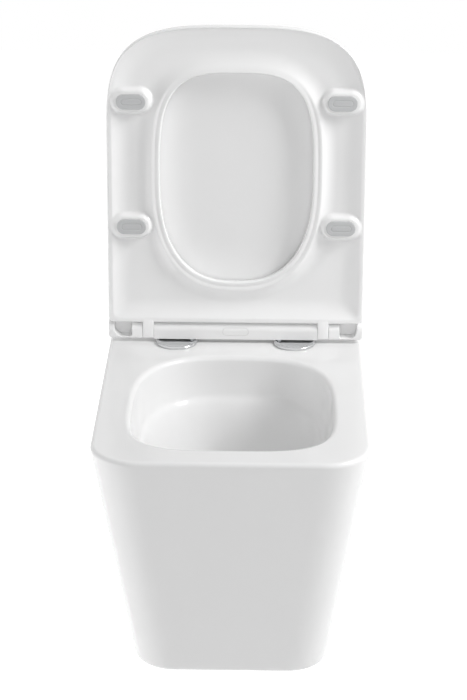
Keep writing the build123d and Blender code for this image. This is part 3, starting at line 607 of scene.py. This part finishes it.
def foot_ring(gamma):
    """Foot edge: a circle of FOOT_R rolled between the leaning skin and the level underside."""
    turned = lerp(lean, QUARTER, gamma)
    z = FOOT["z"] + FOOT_R - FOOT_R * np.sin(turned)
    across = FOOT_R * (np.tan(lean) - 1 / np.cos(lean) + np.cos(turned))
    across = across - (z - FOOT["z"]) * np.tan(lean)
    z = np.where(rear, z[rear_first], z)
    normal = np.where(rear[:, None], 0.0, outward)
    normal[0], normal[rear_first] = (1.0, 0.0), (-1.0, 0.0)
    f = ((z - FOOT["z"]) / TALL)[:, None]
    flat = foot_flat + (top_ring - foot_flat) * f + normal * across[:, None]
    share = (foot_flat[rear, 0] + FOOT["half"]) / (2 * FOOT["half"])
    flat[rear, 0] = lerp(flat[rear_first, 0], flat[0, 0], share)
    return np.column_stack([flat, z])


ceiling_row = len(outer_rows)
outer_rows += [skin_ring(np.full(columns, z)) for z in SKIN_HEIGHTS]
foot_row = len(outer_rows)
outer_rows += [foot_ring(gamma) for gamma in np.linspace(0, 1, 9)]
sole = outer_rows[-1]
outer_rows += [lerp(sole, SOLE_MIDDLE, f) for f in (0.12, 0.3, 0.6, 0.98)]
outer = np.array(outer_rows)
outer_keep = np.ones((len(outer) - 1, columns), bool)
outer_keep[ceiling_row:foot_row, rear_first + 1 : columns - 1] = False
print("outside", outer.shape[0], "rows of", columns)

# %% [markdown]
# ## The hollow inside
# Seen from behind, the casting is a shell: the bowl's underside hangs in it like a basin. The
# inside repeats the bowl's rings one wall thickness further out, spreads along the deck's
# underside, and comes down the inner walls to an inner floor. Round the open back its points are
# those of the outside, so that the two can be joined.

# %% Inside
inner_rows = [joint_ring] + throat_rows(WALL)
inner_rows += [bowl_ring(sizes, WALL) for sizes in b_spline(BOWL[::-1], UNDERSIDE_ROWS)]
last_under = inner_rows[-1]
last_under[:, 2] = CEILING_Z
roof = np.column_stack([section_at(CEILING_Z, SKIN, 0.0), np.full(columns, CEILING_Z)])
inner_rows += [lerp(last_under, roof, f) for f in np.linspace(0, 1, 7)[1:-1]]
wall_row = len(inner_rows)
floor_z = outer[foot_row, rear_first, 2]
for z in SKIN_HEIGHTS + [floor_z]:
    inner_rows.append(np.column_stack([section_at(z, SKIN, 0.0), np.full(columns, z)]))
inner = np.array(inner_rows)
inner[wall_row : wall_row + len(SKIN_HEIGHTS) + 1, rear] = outer[ceiling_row : foot_row + 1, rear]
inner[wall_row:, rear_first] = inner[wall_row:, rear_first + 1]
inner[wall_row:, 0] = inner[wall_row:, -1]
floor_middle = np.array([0.0, -150.0, floor_z])
floor_rows = [lerp(inner[-1], floor_middle, f) for f in (0.15, 0.4, 0.7, 0.98)]
inner = np.concatenate([inner, floor_rows])
inner_keep = np.ones((len(inner) - 1, columns), bool)
inner_keep[wall_row : wall_row + len(SKIN_HEIGHTS), rear_first : columns - 1] = False
print("inside", inner.shape[0], "rows of", columns)

# %% [markdown]
# ## One closed casting
# Outside and inside are put in one mesh, the inside with its faces turned round. Points that lie
# on top of each other are merged, which closes the throat and the open back's edge. A closed
# mesh has two faces at every edge and a volume, so both are counted.

# %% Join outside and inside
MERGE_MM = 0.01
outer_faces = list(grid_faces(*outer.shape[:2], keep=outer_keep))
outer_faces.append((len(outer) - 1) * columns + np.arange(columns))
inner_faces = list(grid_faces(*inner.shape[:2], keep=inner_keep))
inner_faces.append((len(inner) - 1) * columns + np.arange(columns))
shift = outer.shape[0] * columns
faces = outer_faces + [np.asarray(face)[::-1] + shift for face in inner_faces]
points = np.concatenate([outer.reshape(-1, 3), inner.reshape(-1, 3)])
casting = add_mesh("pan_casting", points, faces, china, PAN_BODY)
shell = bmesh.new()
shell.from_mesh(casting.data)
bmesh.ops.remove_doubles(shell, verts=shell.verts, dist=MERGE_MM * MM)
open_edges = sum(1 for edge in shell.edges if len(edge.link_faces) != 2)
volume = shell.calc_volume(signed=True)
shell.to_mesh(casting.data)
shell.free()
print("casting", round(volume * 1e3, 2), "litres of clay, edges left open", open_edges)
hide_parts("pan", "pan_bowl")

# %% [markdown]
# ## Ribs
# Inside, a thick rib on each side takes the load of the wall bracket. A rounded block is a
# sphere's grid cut into eight parts, with each part pushed out to its own corner of the box.

# %% Ribs that the wall brackets bear on
RIB_LOW = (121.5, -31.0, -20.0)
RIB_HIGH = (158.0, -1.0, 20.0)
RIB_ROUND = 3.0


def rounded_block(low, high, radius, steps=6):
    """A box with round edges: unit sphere times radius, plus the signs times the half sizes."""
    middle = (np.array(low) + high) / 2
    half = (np.array(high) - low) / 2 - radius
    lat = np.radians(np.concatenate([np.linspace(-90, 0, steps), np.linspace(0, 90, steps)]))
    lon = np.radians(np.linspace(np.arange(4) * 90, np.arange(4) * 90 + 90, steps).T.ravel())
    la, lo = np.meshgrid(lat, lon, indexing="ij")
    unit = np.stack([np.cos(la) * np.cos(lo), np.cos(la) * np.sin(lo), np.sin(la)], axis=-1)
    quarter = np.repeat(np.arange(4), steps)
    sign_x = np.where((quarter == 0) | (quarter == 3), 1.0, -1.0)
    sign_y = np.where(quarter < 2, 1.0, -1.0)
    sign_z = np.where(np.arange(2 * steps) < steps, -1.0, 1.0)[:, None]
    signs = np.stack(np.broadcast_arrays(sign_x, sign_y, sign_z), axis=-1)
    return middle + unit * radius + signs * half


for side, side_name in SIDES:
    near_x, far_x = sorted((side * RIB_LOW[0], side * RIB_HIGH[0]))
    block = rounded_block((near_x, *RIB_LOW[1:]), (far_x, *RIB_HIGH[1:]), RIB_ROUND)
    grid_piece("pan_rib_" + side_name, block, china_raw, PAN_BODY)

# %% [markdown]
# ## Side caps
# A small white cap hides each fixing screw in the pan's side. It is a low dome, set square to the
# leaning side: a profile of radius and height, carried round an axis.

# %% Side caps
CAP_R = 12.0
CAP_SUNK = 0.6
CAP_EDGE = 0.9
CAP_CROWN = 0.35
CAP_LEAN = (TOP["half"] - FOOT["half"]) / TALL
CAP_AT = (lerp(FOOT["half"], TOP["half"], (0 - FOOT["z"]) / TALL), -16.0, 0.0)


def revolved(profile, centre, axis, turns=96, start=(0.0, 0.0, 1.0)):
    """A profile of (radius, height) pairs carried round an axis through a centre."""
    axis = np.array(axis, float) / np.linalg.norm(axis)
    across = np.cross(axis, start)
    across /= np.linalg.norm(across)
    other = np.cross(axis, across)
    turned = np.linspace(0, 2 * math.pi, turns, endpoint=False)
    spokes = np.cos(turned)[:, None] * across + np.sin(turned)[:, None] * other
    return np.array([np.array(centre) + r * spokes + h * axis for r, h in profile])


dome = [(CAP_R, -CAP_SUNK)]
dome += [(CAP_R - 1.0 + math.cos(a), CAP_EDGE * math.sin(a)) for a in np.linspace(0, 1.2, 6)]
for r in (10.0, 8.0, 5.0, 2.0, 0.2):
    dome.append((r, CAP_EDGE + CAP_CROWN * (1 - (r / 11.0) ** 2)))
for side, side_name in SIDES:
    cap = revolved(dome, (side * CAP_AT[0], *CAP_AT[1:]), (side * 1.0, 0.0, -CAP_LEAN))
    made = grid_piece(
        "side_cap_dome_" + side_name, cap, bar_plastic, PAN_BODY, caps=("last",)
    )
    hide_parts("side_cap_" + side_name)

# %% [markdown]
# ## The seat
# The seat is pressed resin. Seen raised, its underside shows: a narrow land round the outside and
# one round the hole, a shallow trough between them, and four bosses that carry the buffers. It is
# one grid: columns are rays from the hole's middle, rows follow the distance from each edge, and a
# height is worked out for each point from those distances. It could be sculpted instead, but a
# function keeps both lands even all the way round.

# %% Seat plane and outlines
AXIS = np.array([-67.5, 96.0])
SEAT_LEAN = math.radians(1.5)
SEAT = dict(half=172.5, rear=12.0, mid=270.0, tip=418.9, n=3.4)
HOLE = dict(half=102.0, mid=215.0, tip=356.0, rear=70.2, n_tip=3.4, n_rear=2.5)
BUFFERS = {"front": (139.5, 318.0), "rear": (140.0, 147.5)}
SEAT_FACE = 11.0
BOSS_TOP = 13.4


def raised(x, s, t):
    """Seat coordinates to the room: s runs up from the hinge, t forward, leaning back a little."""
    up, back = math.cos(SEAT_LEAN), math.sin(SEAT_LEAN)
    y = AXIS[0] + s * back - t * up
    z = AXIS[1] + s * up + t * back
    return np.stack(np.broadcast_arrays(x, y, z), axis=-1)


def super_ellipse_distance(x, s, middle, half, reach, n):
    """Distance inside |x/a|^n + |s/b|^n = 1 to first order: (1 - rho) over the slope of rho."""
    u = np.maximum(np.abs(x) / half, 1e-6)
    v = np.maximum((s - middle) / reach, 1e-6)
    rho = (u**n + v**n) ** (1 / n)
    slope = rho ** (1 - n) * np.hypot(u ** (n - 1) / half, v ** (n - 1) / reach)
    return (1 - rho) / slope


def edge_distance(x, s, tip=SEAT["tip"], round_off=9.4):
    """How far a point lies inside the outline: straight sides and rear, a super-ellipse front."""
    aside = SEAT["half"] - np.abs(x)
    behind = s - SEAT["rear"]
    h = np.clip(0.5 + 0.5 * (behind - aside) / round_off, 0, 1)
    straight = lerp(behind, aside, h) - round_off * h * (1 - h)
    front = super_ellipse_distance(x, s, SEAT["mid"], SEAT["half"], tip - SEAT["mid"], SEAT["n"])
    return np.where(s > SEAT["mid"], front, straight)


def hole_distance(x, s):
    """How far a point lies outside the hole, from its two half super-ellipses."""
    ahead = s > HOLE["mid"]
    reach = np.where(ahead, HOLE["tip"] - HOLE["mid"], HOLE["mid"] - HOLE["rear"])
    n = np.where(ahead, HOLE["n_tip"], HOLE["n_rear"])
    folded = HOLE["mid"] + np.abs(s - HOLE["mid"])
    return -super_ellipse_distance(x, folded, HOLE["mid"], HOLE["half"], reach, n)


print("hole", 2 * HOLE["half"], "wide", HOLE["tip"] - HOLE["rear"], "long")

# %% [markdown]
# ## Rays from the middle of the hole
# Every column of the seat is a ray, so the radius at which a ray meets an outline, or a line
# drawn so far inside it, is needed. It is found by halving an interval 42 times, for all rays at
# once.

# %% Rays
SPOKES = 840
spoke = np.linspace(0, 2 * math.pi, SPOKES, endpoint=False)
spoke_x, spoke_s = np.cos(spoke), np.sin(spoke)


def on_ray(radius):
    """The x and s of the points at a radius along every ray."""
    return radius * spoke_x, HOLE["mid"] + radius * spoke_s


def radius_at(distance, value, high=330.0, growing=False):
    """The radius along each ray at which a distance has a value, by halving the interval."""
    low, high = np.zeros(SPOKES), np.full(SPOKES, high)
    for _ in range(42):
        middle = (low + high) / 2
        d = distance(*on_ray(middle))
        beyond = d > value if growing else d < value
        low, high = np.where(beyond, low, middle), np.where(beyond, middle, high)
    return (low + high) / 2


def off_hole(d):
    """The radius of the line that lies d outside the hole's edge."""
    return radius_at(hole_distance, d, 230.0, True)


print("hole edge lies", off_hole(0.0).min().round(1), "to", off_hole(0.0).max().round(1), "out")

# %% [markdown]
# ## The underside's height
# Two wells are multiplied: one that starts at the outer land, one that starts at the inner land.
# Each drops quickly and flattens, and towards the tip both become wide and soft. A fine groove
# runs round the hole, and four bosses rise back out of the trough.

# %% Height of the seat's underside
OUTER_WELL = dict(side=(6.5, 27.0, 0.9), tip=(4.0, 34.0, 7.0))
INNER_WELL = dict(side=(12.0, 20.0, 0.6), tip=(6.0, 26.0, 5.0))
TROUGH_DEEP = 7.6
GROOVE = dict(deep=0.8, at=6.6, wide=2.0)
BOSS = dict(half_long=10.0, radius=13.5, run=7.0)
TIP_FROM = 290.0
TIP_RUN = 90.0


def well(distance, shape, tip):
    """0 on a land, then 1 - (1 - d / width)^2.2; shape holds start, width and softness."""
    start, width, soft = (lerp(a, b, tip) for a, b in zip(shape["side"], shape["tip"]))
    past = distance - start
    past = (past + np.sqrt(past**2 + soft**2)) / 2
    return 1 - (1 - np.clip(past / width, 0, 1)) ** 2.2


def seat_height(x, s):
    """Lands and trough, less the groove (a bell curve), then blended up to each boss."""
    inner, outer = hole_distance(x, s), edge_distance(x, s)
    tip = ease((s - TIP_FROM) / TIP_RUN)
    t = SEAT_FACE - TROUGH_DEEP * well(inner, INNER_WELL, tip) * well(outer, OUTER_WELL, tip)
    bell = np.exp(-(((inner - GROOVE["at"]) / GROOVE["wide"]) ** 2))
    t = t - GROOVE["deep"] * bell * (1 - tip)
    for bx, bs in BUFFERS.values():
        for side in (-1, 1):
            beyond = np.maximum(np.abs(x - side * bx) - BOSS["half_long"], 0)
            reach = np.hypot(beyond, s - bs) - BOSS["radius"]
            t = lerp(t, BOSS_TOP, ease(1 - (reach + 0.8) / BOSS["run"]))
    return t


print("trough", TROUGH_DEEP, "mm deep, bosses", BOSS_TOP - SEAT_FACE, "mm above the lands")

# %% [markdown]
# ## The seat ring
# The rows go once round the ring's section: up the hole's wall, over its rounded edge, across the
# underside, over the outer edge, down the outside and back along the upper face. Rows lie close
# together where the height changes fast.

# %% Seat ring
HOLE_EDGE_R = 2.4
OUTER_EDGE_R = 2.6
UPPER_EDGE_R = 3.0
UPPER_FACE = -1.0
INNER_STEPS = (3.0, 3.7, 4.4, 5.1, 5.8, 6.6, 7.4, 8.2, 9.0, 10.0, 11.0)
INNER_STEPS += (11.6, 12.0, 12.4, 13.0, 13.8, 15.0, 16.5)
OUTER_STEPS = (17.0, 15.0, 13.0, 11.5, 10.0, 8.8, 7.9, 7.2, 6.7, 6.2, 5.6, 4.8, 4.0, 3.3, 2.6)


def ring_row(radius, t=None):
    """One ring of the seat; its height is t, or else the underside's own."""
    x, s = on_ray(radius)
    return raised(x, s, seat_height(x, s) if t is None else t)


hole_r, hole_edge_r, hole_upper_r = off_hole(0.0), off_hole(HOLE_EDGE_R), off_hole(UPPER_EDGE_R)
edge_r = radius_at(edge_distance, 0.0)
rows = [ring_row(hole_r, t) for t in (3.0, 5.5, 8.0)]
for a in np.linspace(0.15, 1, 7) * QUARTER:
    height = SEAT_FACE - HOLE_EDGE_R + HOLE_EDGE_R * math.sin(a)
    rows.append(ring_row(lerp(hole_r, hole_edge_r, 1 - math.cos(a)), height))
rows += [ring_row(off_hole(d)) for d in INNER_STEPS]
inner_stop, outer_stop = off_hole(INNER_STEPS[-1]), radius_at(edge_distance, OUTER_STEPS[0])
rows += [ring_row(lerp(inner_stop, outer_stop, f)) for f in np.linspace(0, 1, 28)[1:-1]]
rows += [ring_row(radius_at(edge_distance, d)) for d in OUTER_STEPS]
turn_in = radius_at(edge_distance, OUTER_EDGE_R)
for a in np.linspace(0.12, 1, 8) * QUARTER:
    height = SEAT_FACE - OUTER_EDGE_R * (1 - math.cos(a))
    rows.append(ring_row(lerp(turn_in, edge_r, math.sin(a)), height))
rows += [ring_row(edge_r, t) for t in (6.5, 4.5, 2.0)]
upper_r = radius_at(edge_distance, UPPER_EDGE_R)
for a in np.linspace(0.25, 1, 5) * QUARTER:
    height = 2.0 - UPPER_EDGE_R * math.sin(a)
    rows.append(ring_row(lerp(edge_r, upper_r, 1 - math.cos(a)), height))
rows += [ring_row(lerp(upper_r, hole_upper_r, f), UPPER_FACE) for f in np.linspace(0, 1, 12)[1:-1]]
for a in np.linspace(0, 0.8, 4) * QUARTER:
    rows.append(ring_row(lerp(hole_upper_r, hole_r, math.sin(a)), 3.0 - 4.0 * math.cos(a)))
rows = np.array(rows)
seat_ring = grid_piece(
    "seat_ring_pressed", rows, resin, "seat", flip=True, caps=(), loop=True
)
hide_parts("seat_ring")

# %% [markdown]
# ## The seat's ears
# Two lugs reach from the seat to the hinge. Each is an end view carried across, and its last rows
# shrink a little towards the middle of the view, which softens the ends.

# %% Ears
EAR_X = (111.3, 126.0)
EAR_R = 11.0
EAR_SOFT = 0.8


def arc(cs, ct, r, a0, a1, count=14):
    """Points (s, t) of an arc round (cs, ct), between two angles in degrees."""
    sweep = np.radians(np.linspace(a0, a1, count))
    return [(cs + r * math.cos(a), ct + r * math.sin(a)) for a in sweep]


def lug(view, x0, x1, soft):
    """A closed end view of (s, t) points carried from x0 to x1, drawn in at both ends."""
    view = np.array(view, float)
    middle = view.mean(0)
    away = view - middle
    size = np.linalg.norm(away, axis=1, keepdims=True)
    steps = ((x0, soft), (x0 + 0.3 * soft, 0.3 * soft), (x0 + soft, 0.0))
    steps += ((x1 - soft, 0.0), (x1 - 0.3 * soft, 0.3 * soft), (x1, soft))
    loops = [(x, middle + away * (1 - inset / size)) for x, inset in steps]
    return np.array([raised(np.full(len(loop), x), loop[:, 0], loop[:, 1]) for x, loop in loops])


ear_view = arc(-8.0, 8.0, 3.0, 90, 180) + arc(0, 0, EAR_R, 180, 275, 24)
ear_view += [(16.0, -0.8), (18.0, 1.0), (18.0, 10.0), (16.0, 11.0)]
for side, side_name in SIDES:
    x0, x1 = sorted((side * EAR_X[0], side * EAR_X[1]))
    ear = lug(ear_view, x0, x1, EAR_SOFT)
    ear = grid_piece("seat_ear_" + side_name, ear, resin, "seat")
    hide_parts("seat_ring")

# %% [markdown]
# ## Buffers
# Each buffer is a rubber oblong with a soft edge and a fine oblong groove in its face. The rows are
# oblongs, each drawn in a little further from the edge, down to the middle line.

# %% Seat buffers
BUFFER_HALF_LONG = 19.75
BUFFER_HALF_WIDE = 10.3
BUFFER_FOOT = 12.6
BUFFER_FACE = 15.9
BUFFER_EDGE_R = 1.1
BUFFER_GROOVE = dict(deep=0.55, at=6.3, wide=0.55)
BUFFER_INSETS = (0.0, 0.05, 0.2, 0.5, 0.8, 1.1, 2.0, 3.5, 5.0)
BUFFER_INSETS += (5.5, 5.9, 6.3, 6.7, 7.1, 7.6, 8.6, 9.6, 10.25)


def oblong(inset, count=96):
    """Points round an oblong of two half circles, drawn in from its edge."""
    r = max(BUFFER_HALF_WIDE - inset, 0.05)
    a = (np.arange(count) + 0.5) * 2 * math.pi / count
    end = np.where(np.cos(a) > 0, 1, -1) * (BUFFER_HALF_LONG - BUFFER_HALF_WIDE)
    return r * np.cos(a) + end, r * np.sin(a)


def buffer_height(inset):
    """A quarter round at the rim, and a groove as a bell curve round an inner oblong."""
    back = max(BUFFER_EDGE_R - inset, 0)
    rim = BUFFER_EDGE_R - math.sqrt(max(BUFFER_EDGE_R**2 - back**2, 0))
    bell = math.exp(-(((inset - BUFFER_GROOVE["at"]) / BUFFER_GROOVE["wide"]) ** 2))
    return BUFFER_FACE - rim - BUFFER_GROOVE["deep"] * bell


levels = [(0.0, BUFFER_FOOT)] + [(inset, buffer_height(inset)) for inset in BUFFER_INSETS]
for where, (bx, bs) in BUFFERS.items():
    for side, side_name in SIDES:
        rows = []
        for inset, t in levels:
            x, s = oblong(inset)
            rows.append(raised(side * bx + x, bs + s, t))
        place = f"{where}_{side_name}"
        rows = np.array(rows)
        rubber = grid_piece("buffer_" + place, rows, soft_grey, "seat", flip=True)
        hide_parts("seat_buffer_" + place)

# %% [markdown]
# ## The lid
# The lid is a thin pressed panel, hollowed on the side that meets the seat, with its outer edge
# rounded. Behind the raised seat it shows through the hole, and its hollow is what shades there,
# where a flat panel would show one even tone. It is drawn in a little from the seat all round, so
# that the seat hides its edge.

# %% Lid panel
LID_TIP = 417.6
LID_IN = 0.6
LID_FACE = -3.0
LID_BACK = -12.0
DISH = dict(deep=6.6, start=58.0, run=58.0, soft=8.0)
LID_STEPS = (18, 16, 14, 12, 10, 8, 6, 4, 2.5, 1.5)
LID_EDGE = ((0.8, -3.05), (0.35, -3.25), (0.1, -3.6), (0.0, -4.2), (0.0, -6.0), (0.2, -7.4))
LID_EDGE += ((0.8, -8.8), (1.7, -10.0), (3.0, -11.0), (4.6, -11.7), (6.5, LID_BACK))
LID_EDGE += ((12.0, LID_BACK),)


def lid_distance(x, s):
    """How far a point lies inside the lid's outline."""
    return edge_distance(x, s, LID_TIP + LID_IN) - LID_IN


def lid_face(radius):
    """The hollow side: flat near the edge, then 1 - (1 - d / run)^2 down towards the middle."""
    x, s = on_ray(radius)
    past = lid_distance(x, s) - DISH["start"]
    past = (past + np.sqrt(past**2 + DISH["soft"] ** 2)) / 2
    share = np.clip(past / DISH["run"], 0, 1)
    return raised(x, s, LID_FACE - DISH["deep"] * (1 - (1 - share) ** 2))


face_r, back_r = radius_at(lid_distance, 20.0), radius_at(lid_distance, 12.0)
rows = [lid_face(face_r * f) for f in np.linspace(0.01, 1, 60)]
rows += [lid_face(radius_at(lid_distance, d)) for d in LID_STEPS]
rows += [raised(*on_ray(radius_at(lid_distance, d)), t) for d, t in LID_EDGE]
rows += [raised(*on_ray(back_r * f), LID_BACK) for f in np.linspace(1, 0.01, 14)[1:]]
rows = np.array(rows)
lid_panel = grid_piece("lid_panel_pressed", rows, resin, "lid", flip=True)
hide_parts("lid_panel")

# %% [markdown]
# ## Hinge corners of the lid
# At each end of the hinge the lid has a block, round on top and flat at the foot, with a moulding
# pocket that saves resin. It is a grid too: columns are rays from the pocket's middle, and rows
# go from the pocket's floor, up its wall, over the front, down the sides and across the back.

# %% Outlines of the hinge corner
CORNER = dict(x0=126.5, x1=172.5, s0=-11.0, s1=15.0)
POCKET = dict(x0=141.0, x1=165.0, s0=-8.7, s1=12.0)
POCKET_MID = (153.0, 0.5)
CORNER_RAYS = 240
corner_turn = np.linspace(0, 2 * math.pi, CORNER_RAYS, endpoint=False) + 0.01


def on_corner_ray(reach):
    """The x and s of the points at a reach along every ray."""
    return POCKET_MID[0] + reach * np.cos(corner_turn), POCKET_MID[1] + reach * np.sin(corner_turn)


def box_reach(box, r_in, r_out):
    """Each ray's reach to a rectangle whose lower corners are round: r_in at x0, r_out at x1."""
    low, high = np.zeros(CORNER_RAYS), np.full(CORNER_RAYS, 60.0)
    for _ in range(40):
        middle = (low + high) / 2
        x, s = on_corner_ray(middle)
        r = np.where(x > POCKET_MID[0], r_out, r_in)
        aside = np.where(x > POCKET_MID[0], x - (box["x1"] - r), (box["x0"] + r) - x)
        below = (box["s0"] + r) - s
        past = np.hypot(np.maximum(aside, 0), np.maximum(below, 0))
        past = past + np.minimum(np.maximum(aside, below), 0) - r
        past = np.maximum(past, s - box["s1"])
        low, high = np.where(past > 0, low, middle), np.where(past > 0, middle, high)
    return (low + high) / 2


pocket_reach = box_reach(POCKET, 3.5, 11.5)
corner_reach = box_reach(CORNER, 1.0, 5.0)
print("corner reaches", corner_reach.min().round(1), "to", corner_reach.max().round(1))

# %% [markdown]
# ## The block's front and back
# Both faces are heights that depend only on the distance above the hinge line, as on a moulding
# pulled along that line. So each row of the block needs just a reach and a height.

# %% Rows of the hinge corner
BLOCK_R = 11.0
TOE_R = 3.0
TOE_AT = (-8.0, 8.0)
PANEL_FRONT = -3.1
PANEL_BACK = -11.9
BLOCK_BACK = 12.0


def front_of(s):
    """Front of the block: flat at the bottom with a soft toe, half round above the axis."""
    low = TOE_AT[1] + np.sqrt(np.maximum(TOE_R**2 - np.minimum(s - TOE_AT[0], 0) ** 2, 0))
    high = np.sqrt(np.maximum(BLOCK_R**2 - np.maximum(s, 0) ** 2, 0))
    upper = np.where(s < BLOCK_R, np.maximum(high, PANEL_FRONT), PANEL_FRONT)
    return np.where(s < 0, low, upper)


def back_of(s):
    """Back of the block: half an ellipse below the axis, then the panel's back."""
    return np.where(s < 0, -BLOCK_BACK * np.sqrt(np.maximum(1 - (s / BLOCK_R) ** 2, 0)), PANEL_BACK)


def corner_row(reach, height):
    """One ring of the block as x, s and t; height is a number or a function of s."""
    x, s = on_corner_ray(reach)
    return x, s, height(s) if callable(height) else np.full(len(x), height)


def corner_side(f):
    """The height a share f down the block's side, from just behind the front to the back."""
    return lambda s: lerp(front_of(s) - 0.8, back_of(s) + 0.8, f)


wall_reach, rim_reach = pocket_reach + 0.6, corner_reach - 0.8
block = [corner_row((pocket_reach - 1.2) * f, -5.0) for f in (0.02, 0.5, 0.9, 1.0)]
block += [
    corner_row(pocket_reach - 0.9, -4.0),
    corner_row(pocket_reach - 0.4, lambda s: lerp(-4.0, front_of(s), 0.5)),
    corner_row(pocket_reach, lambda s: front_of(s) - 0.6),
    corner_row(pocket_reach + 0.25, lambda s: front_of(s) - 0.12),
    corner_row(wall_reach, front_of),
]
for f in np.linspace(0, 1, 12)[1:-1]:
    block.append(corner_row(lerp(wall_reach, rim_reach, f), front_of))
block += [
    corner_row(rim_reach, front_of),
    corner_row(corner_reach - 0.25, lambda s: front_of(s) - 0.2),
    corner_row(corner_reach, lambda s: front_of(s) - 0.8),
]
block += [corner_row(corner_reach, corner_side(f)) for f in (0.25, 0.5, 0.75)]
block.append(corner_row(corner_reach, lambda s: np.minimum(back_of(s) + 0.8, front_of(s) - 0.9)))
block += [corner_row(rim_reach * f, back_of) for f in (1.0, 0.8, 0.6, 0.4, 0.2, 0.02)]
for side, side_name in SIDES:
    rows = np.array([raised(side * x, s, t) for x, s, t in block])
    corner = grid_piece(
        "lid_corner_" + side_name, rows, resin, "lid", flip=side > 0
    )
    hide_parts("lid_panel")

# %% [markdown]
# ## Chrome discs
# A pressed and plated cover sits over each fixing. Its rim is rolled over a thin upright edge, and
# from the rim the face slopes down to a flat middle. A plain cylinder would mirror one even tone,
# while this profile mirrors a bright line along the rim.

# %% Cover discs: radius and height of the profile
DISC_AT = (80.0, -80.0, 0.0)
DISC_TURNS = 128
DISC_PROFILE = ((28.0, 80.0), (28.0, 81.6), (27.95, 82.1), (27.8, 82.6), (27.5, 83.1))
DISC_PROFILE += ((27.1, 83.5), (26.6, 83.8), (26.0, 83.95), (25.4, 84.0), (24.8, 83.97))
DISC_PROFILE += ((24.2, 83.85), (23.0, 83.58), (21.5, 83.27), (20.0, 83.05), (18.5, 82.93))
DISC_PROFILE += ((16.0, 82.9), (8.0, 82.9), (0.2, 82.9))
for side, side_name in SIDES:
    centre = (side * DISC_AT[0], *DISC_AT[1:])
    rings = revolved(DISC_PROFILE, centre, (0, 0, 1), DISC_TURNS, (0.0, 1.0, 0.0))
    disc = grid_piece("cover_disc_plated_" + side_name, rings, chrome, PAN_BODY)
    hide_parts("cover_disc_" + side_name)

# %% [markdown]
# ## Finishes of the engineering nodes
# Everything else keeps its engineering shape and gets the finish of its own material.

# %% Dress the engineering nodes
FINISH_OF = {
    "vitreous_china": china_raw,
    "cap_white": bar_plastic,
    "nylon_grey": nylon,
    "seat_duroplast": resin,
    "lid_duroplast": resin,
    "bar_white": bar_plastic,
    "button_white": bar_plastic,
    "buffer_grey": soft_grey,
    "gasket_black": black_rubber,
    "dowel_rubber": black_rubber,
    "chrome_cover": chrome,
    "steel_turned": steel,
    "brass_nut": brass,
    "damper_black": black_plastic,
    "shaft_steel": steel,
    "bush_acetal": acetal,
    "zinc_steel": zinc,
}
slot_of = {part["node"]: part["material_slot"] for part in frame["record"]["subparts"]}
for node_name, slot_name in slot_of.items():
    solid = frame["nodes"][node_name]
    solid = bpy.data.objects[solid] if isinstance(solid, str) else solid
    for surface in solid.material_slots:
        surface.material = FINISH_OF[slot_name]
print("dressed", len(slot_of), "engineering nodes")
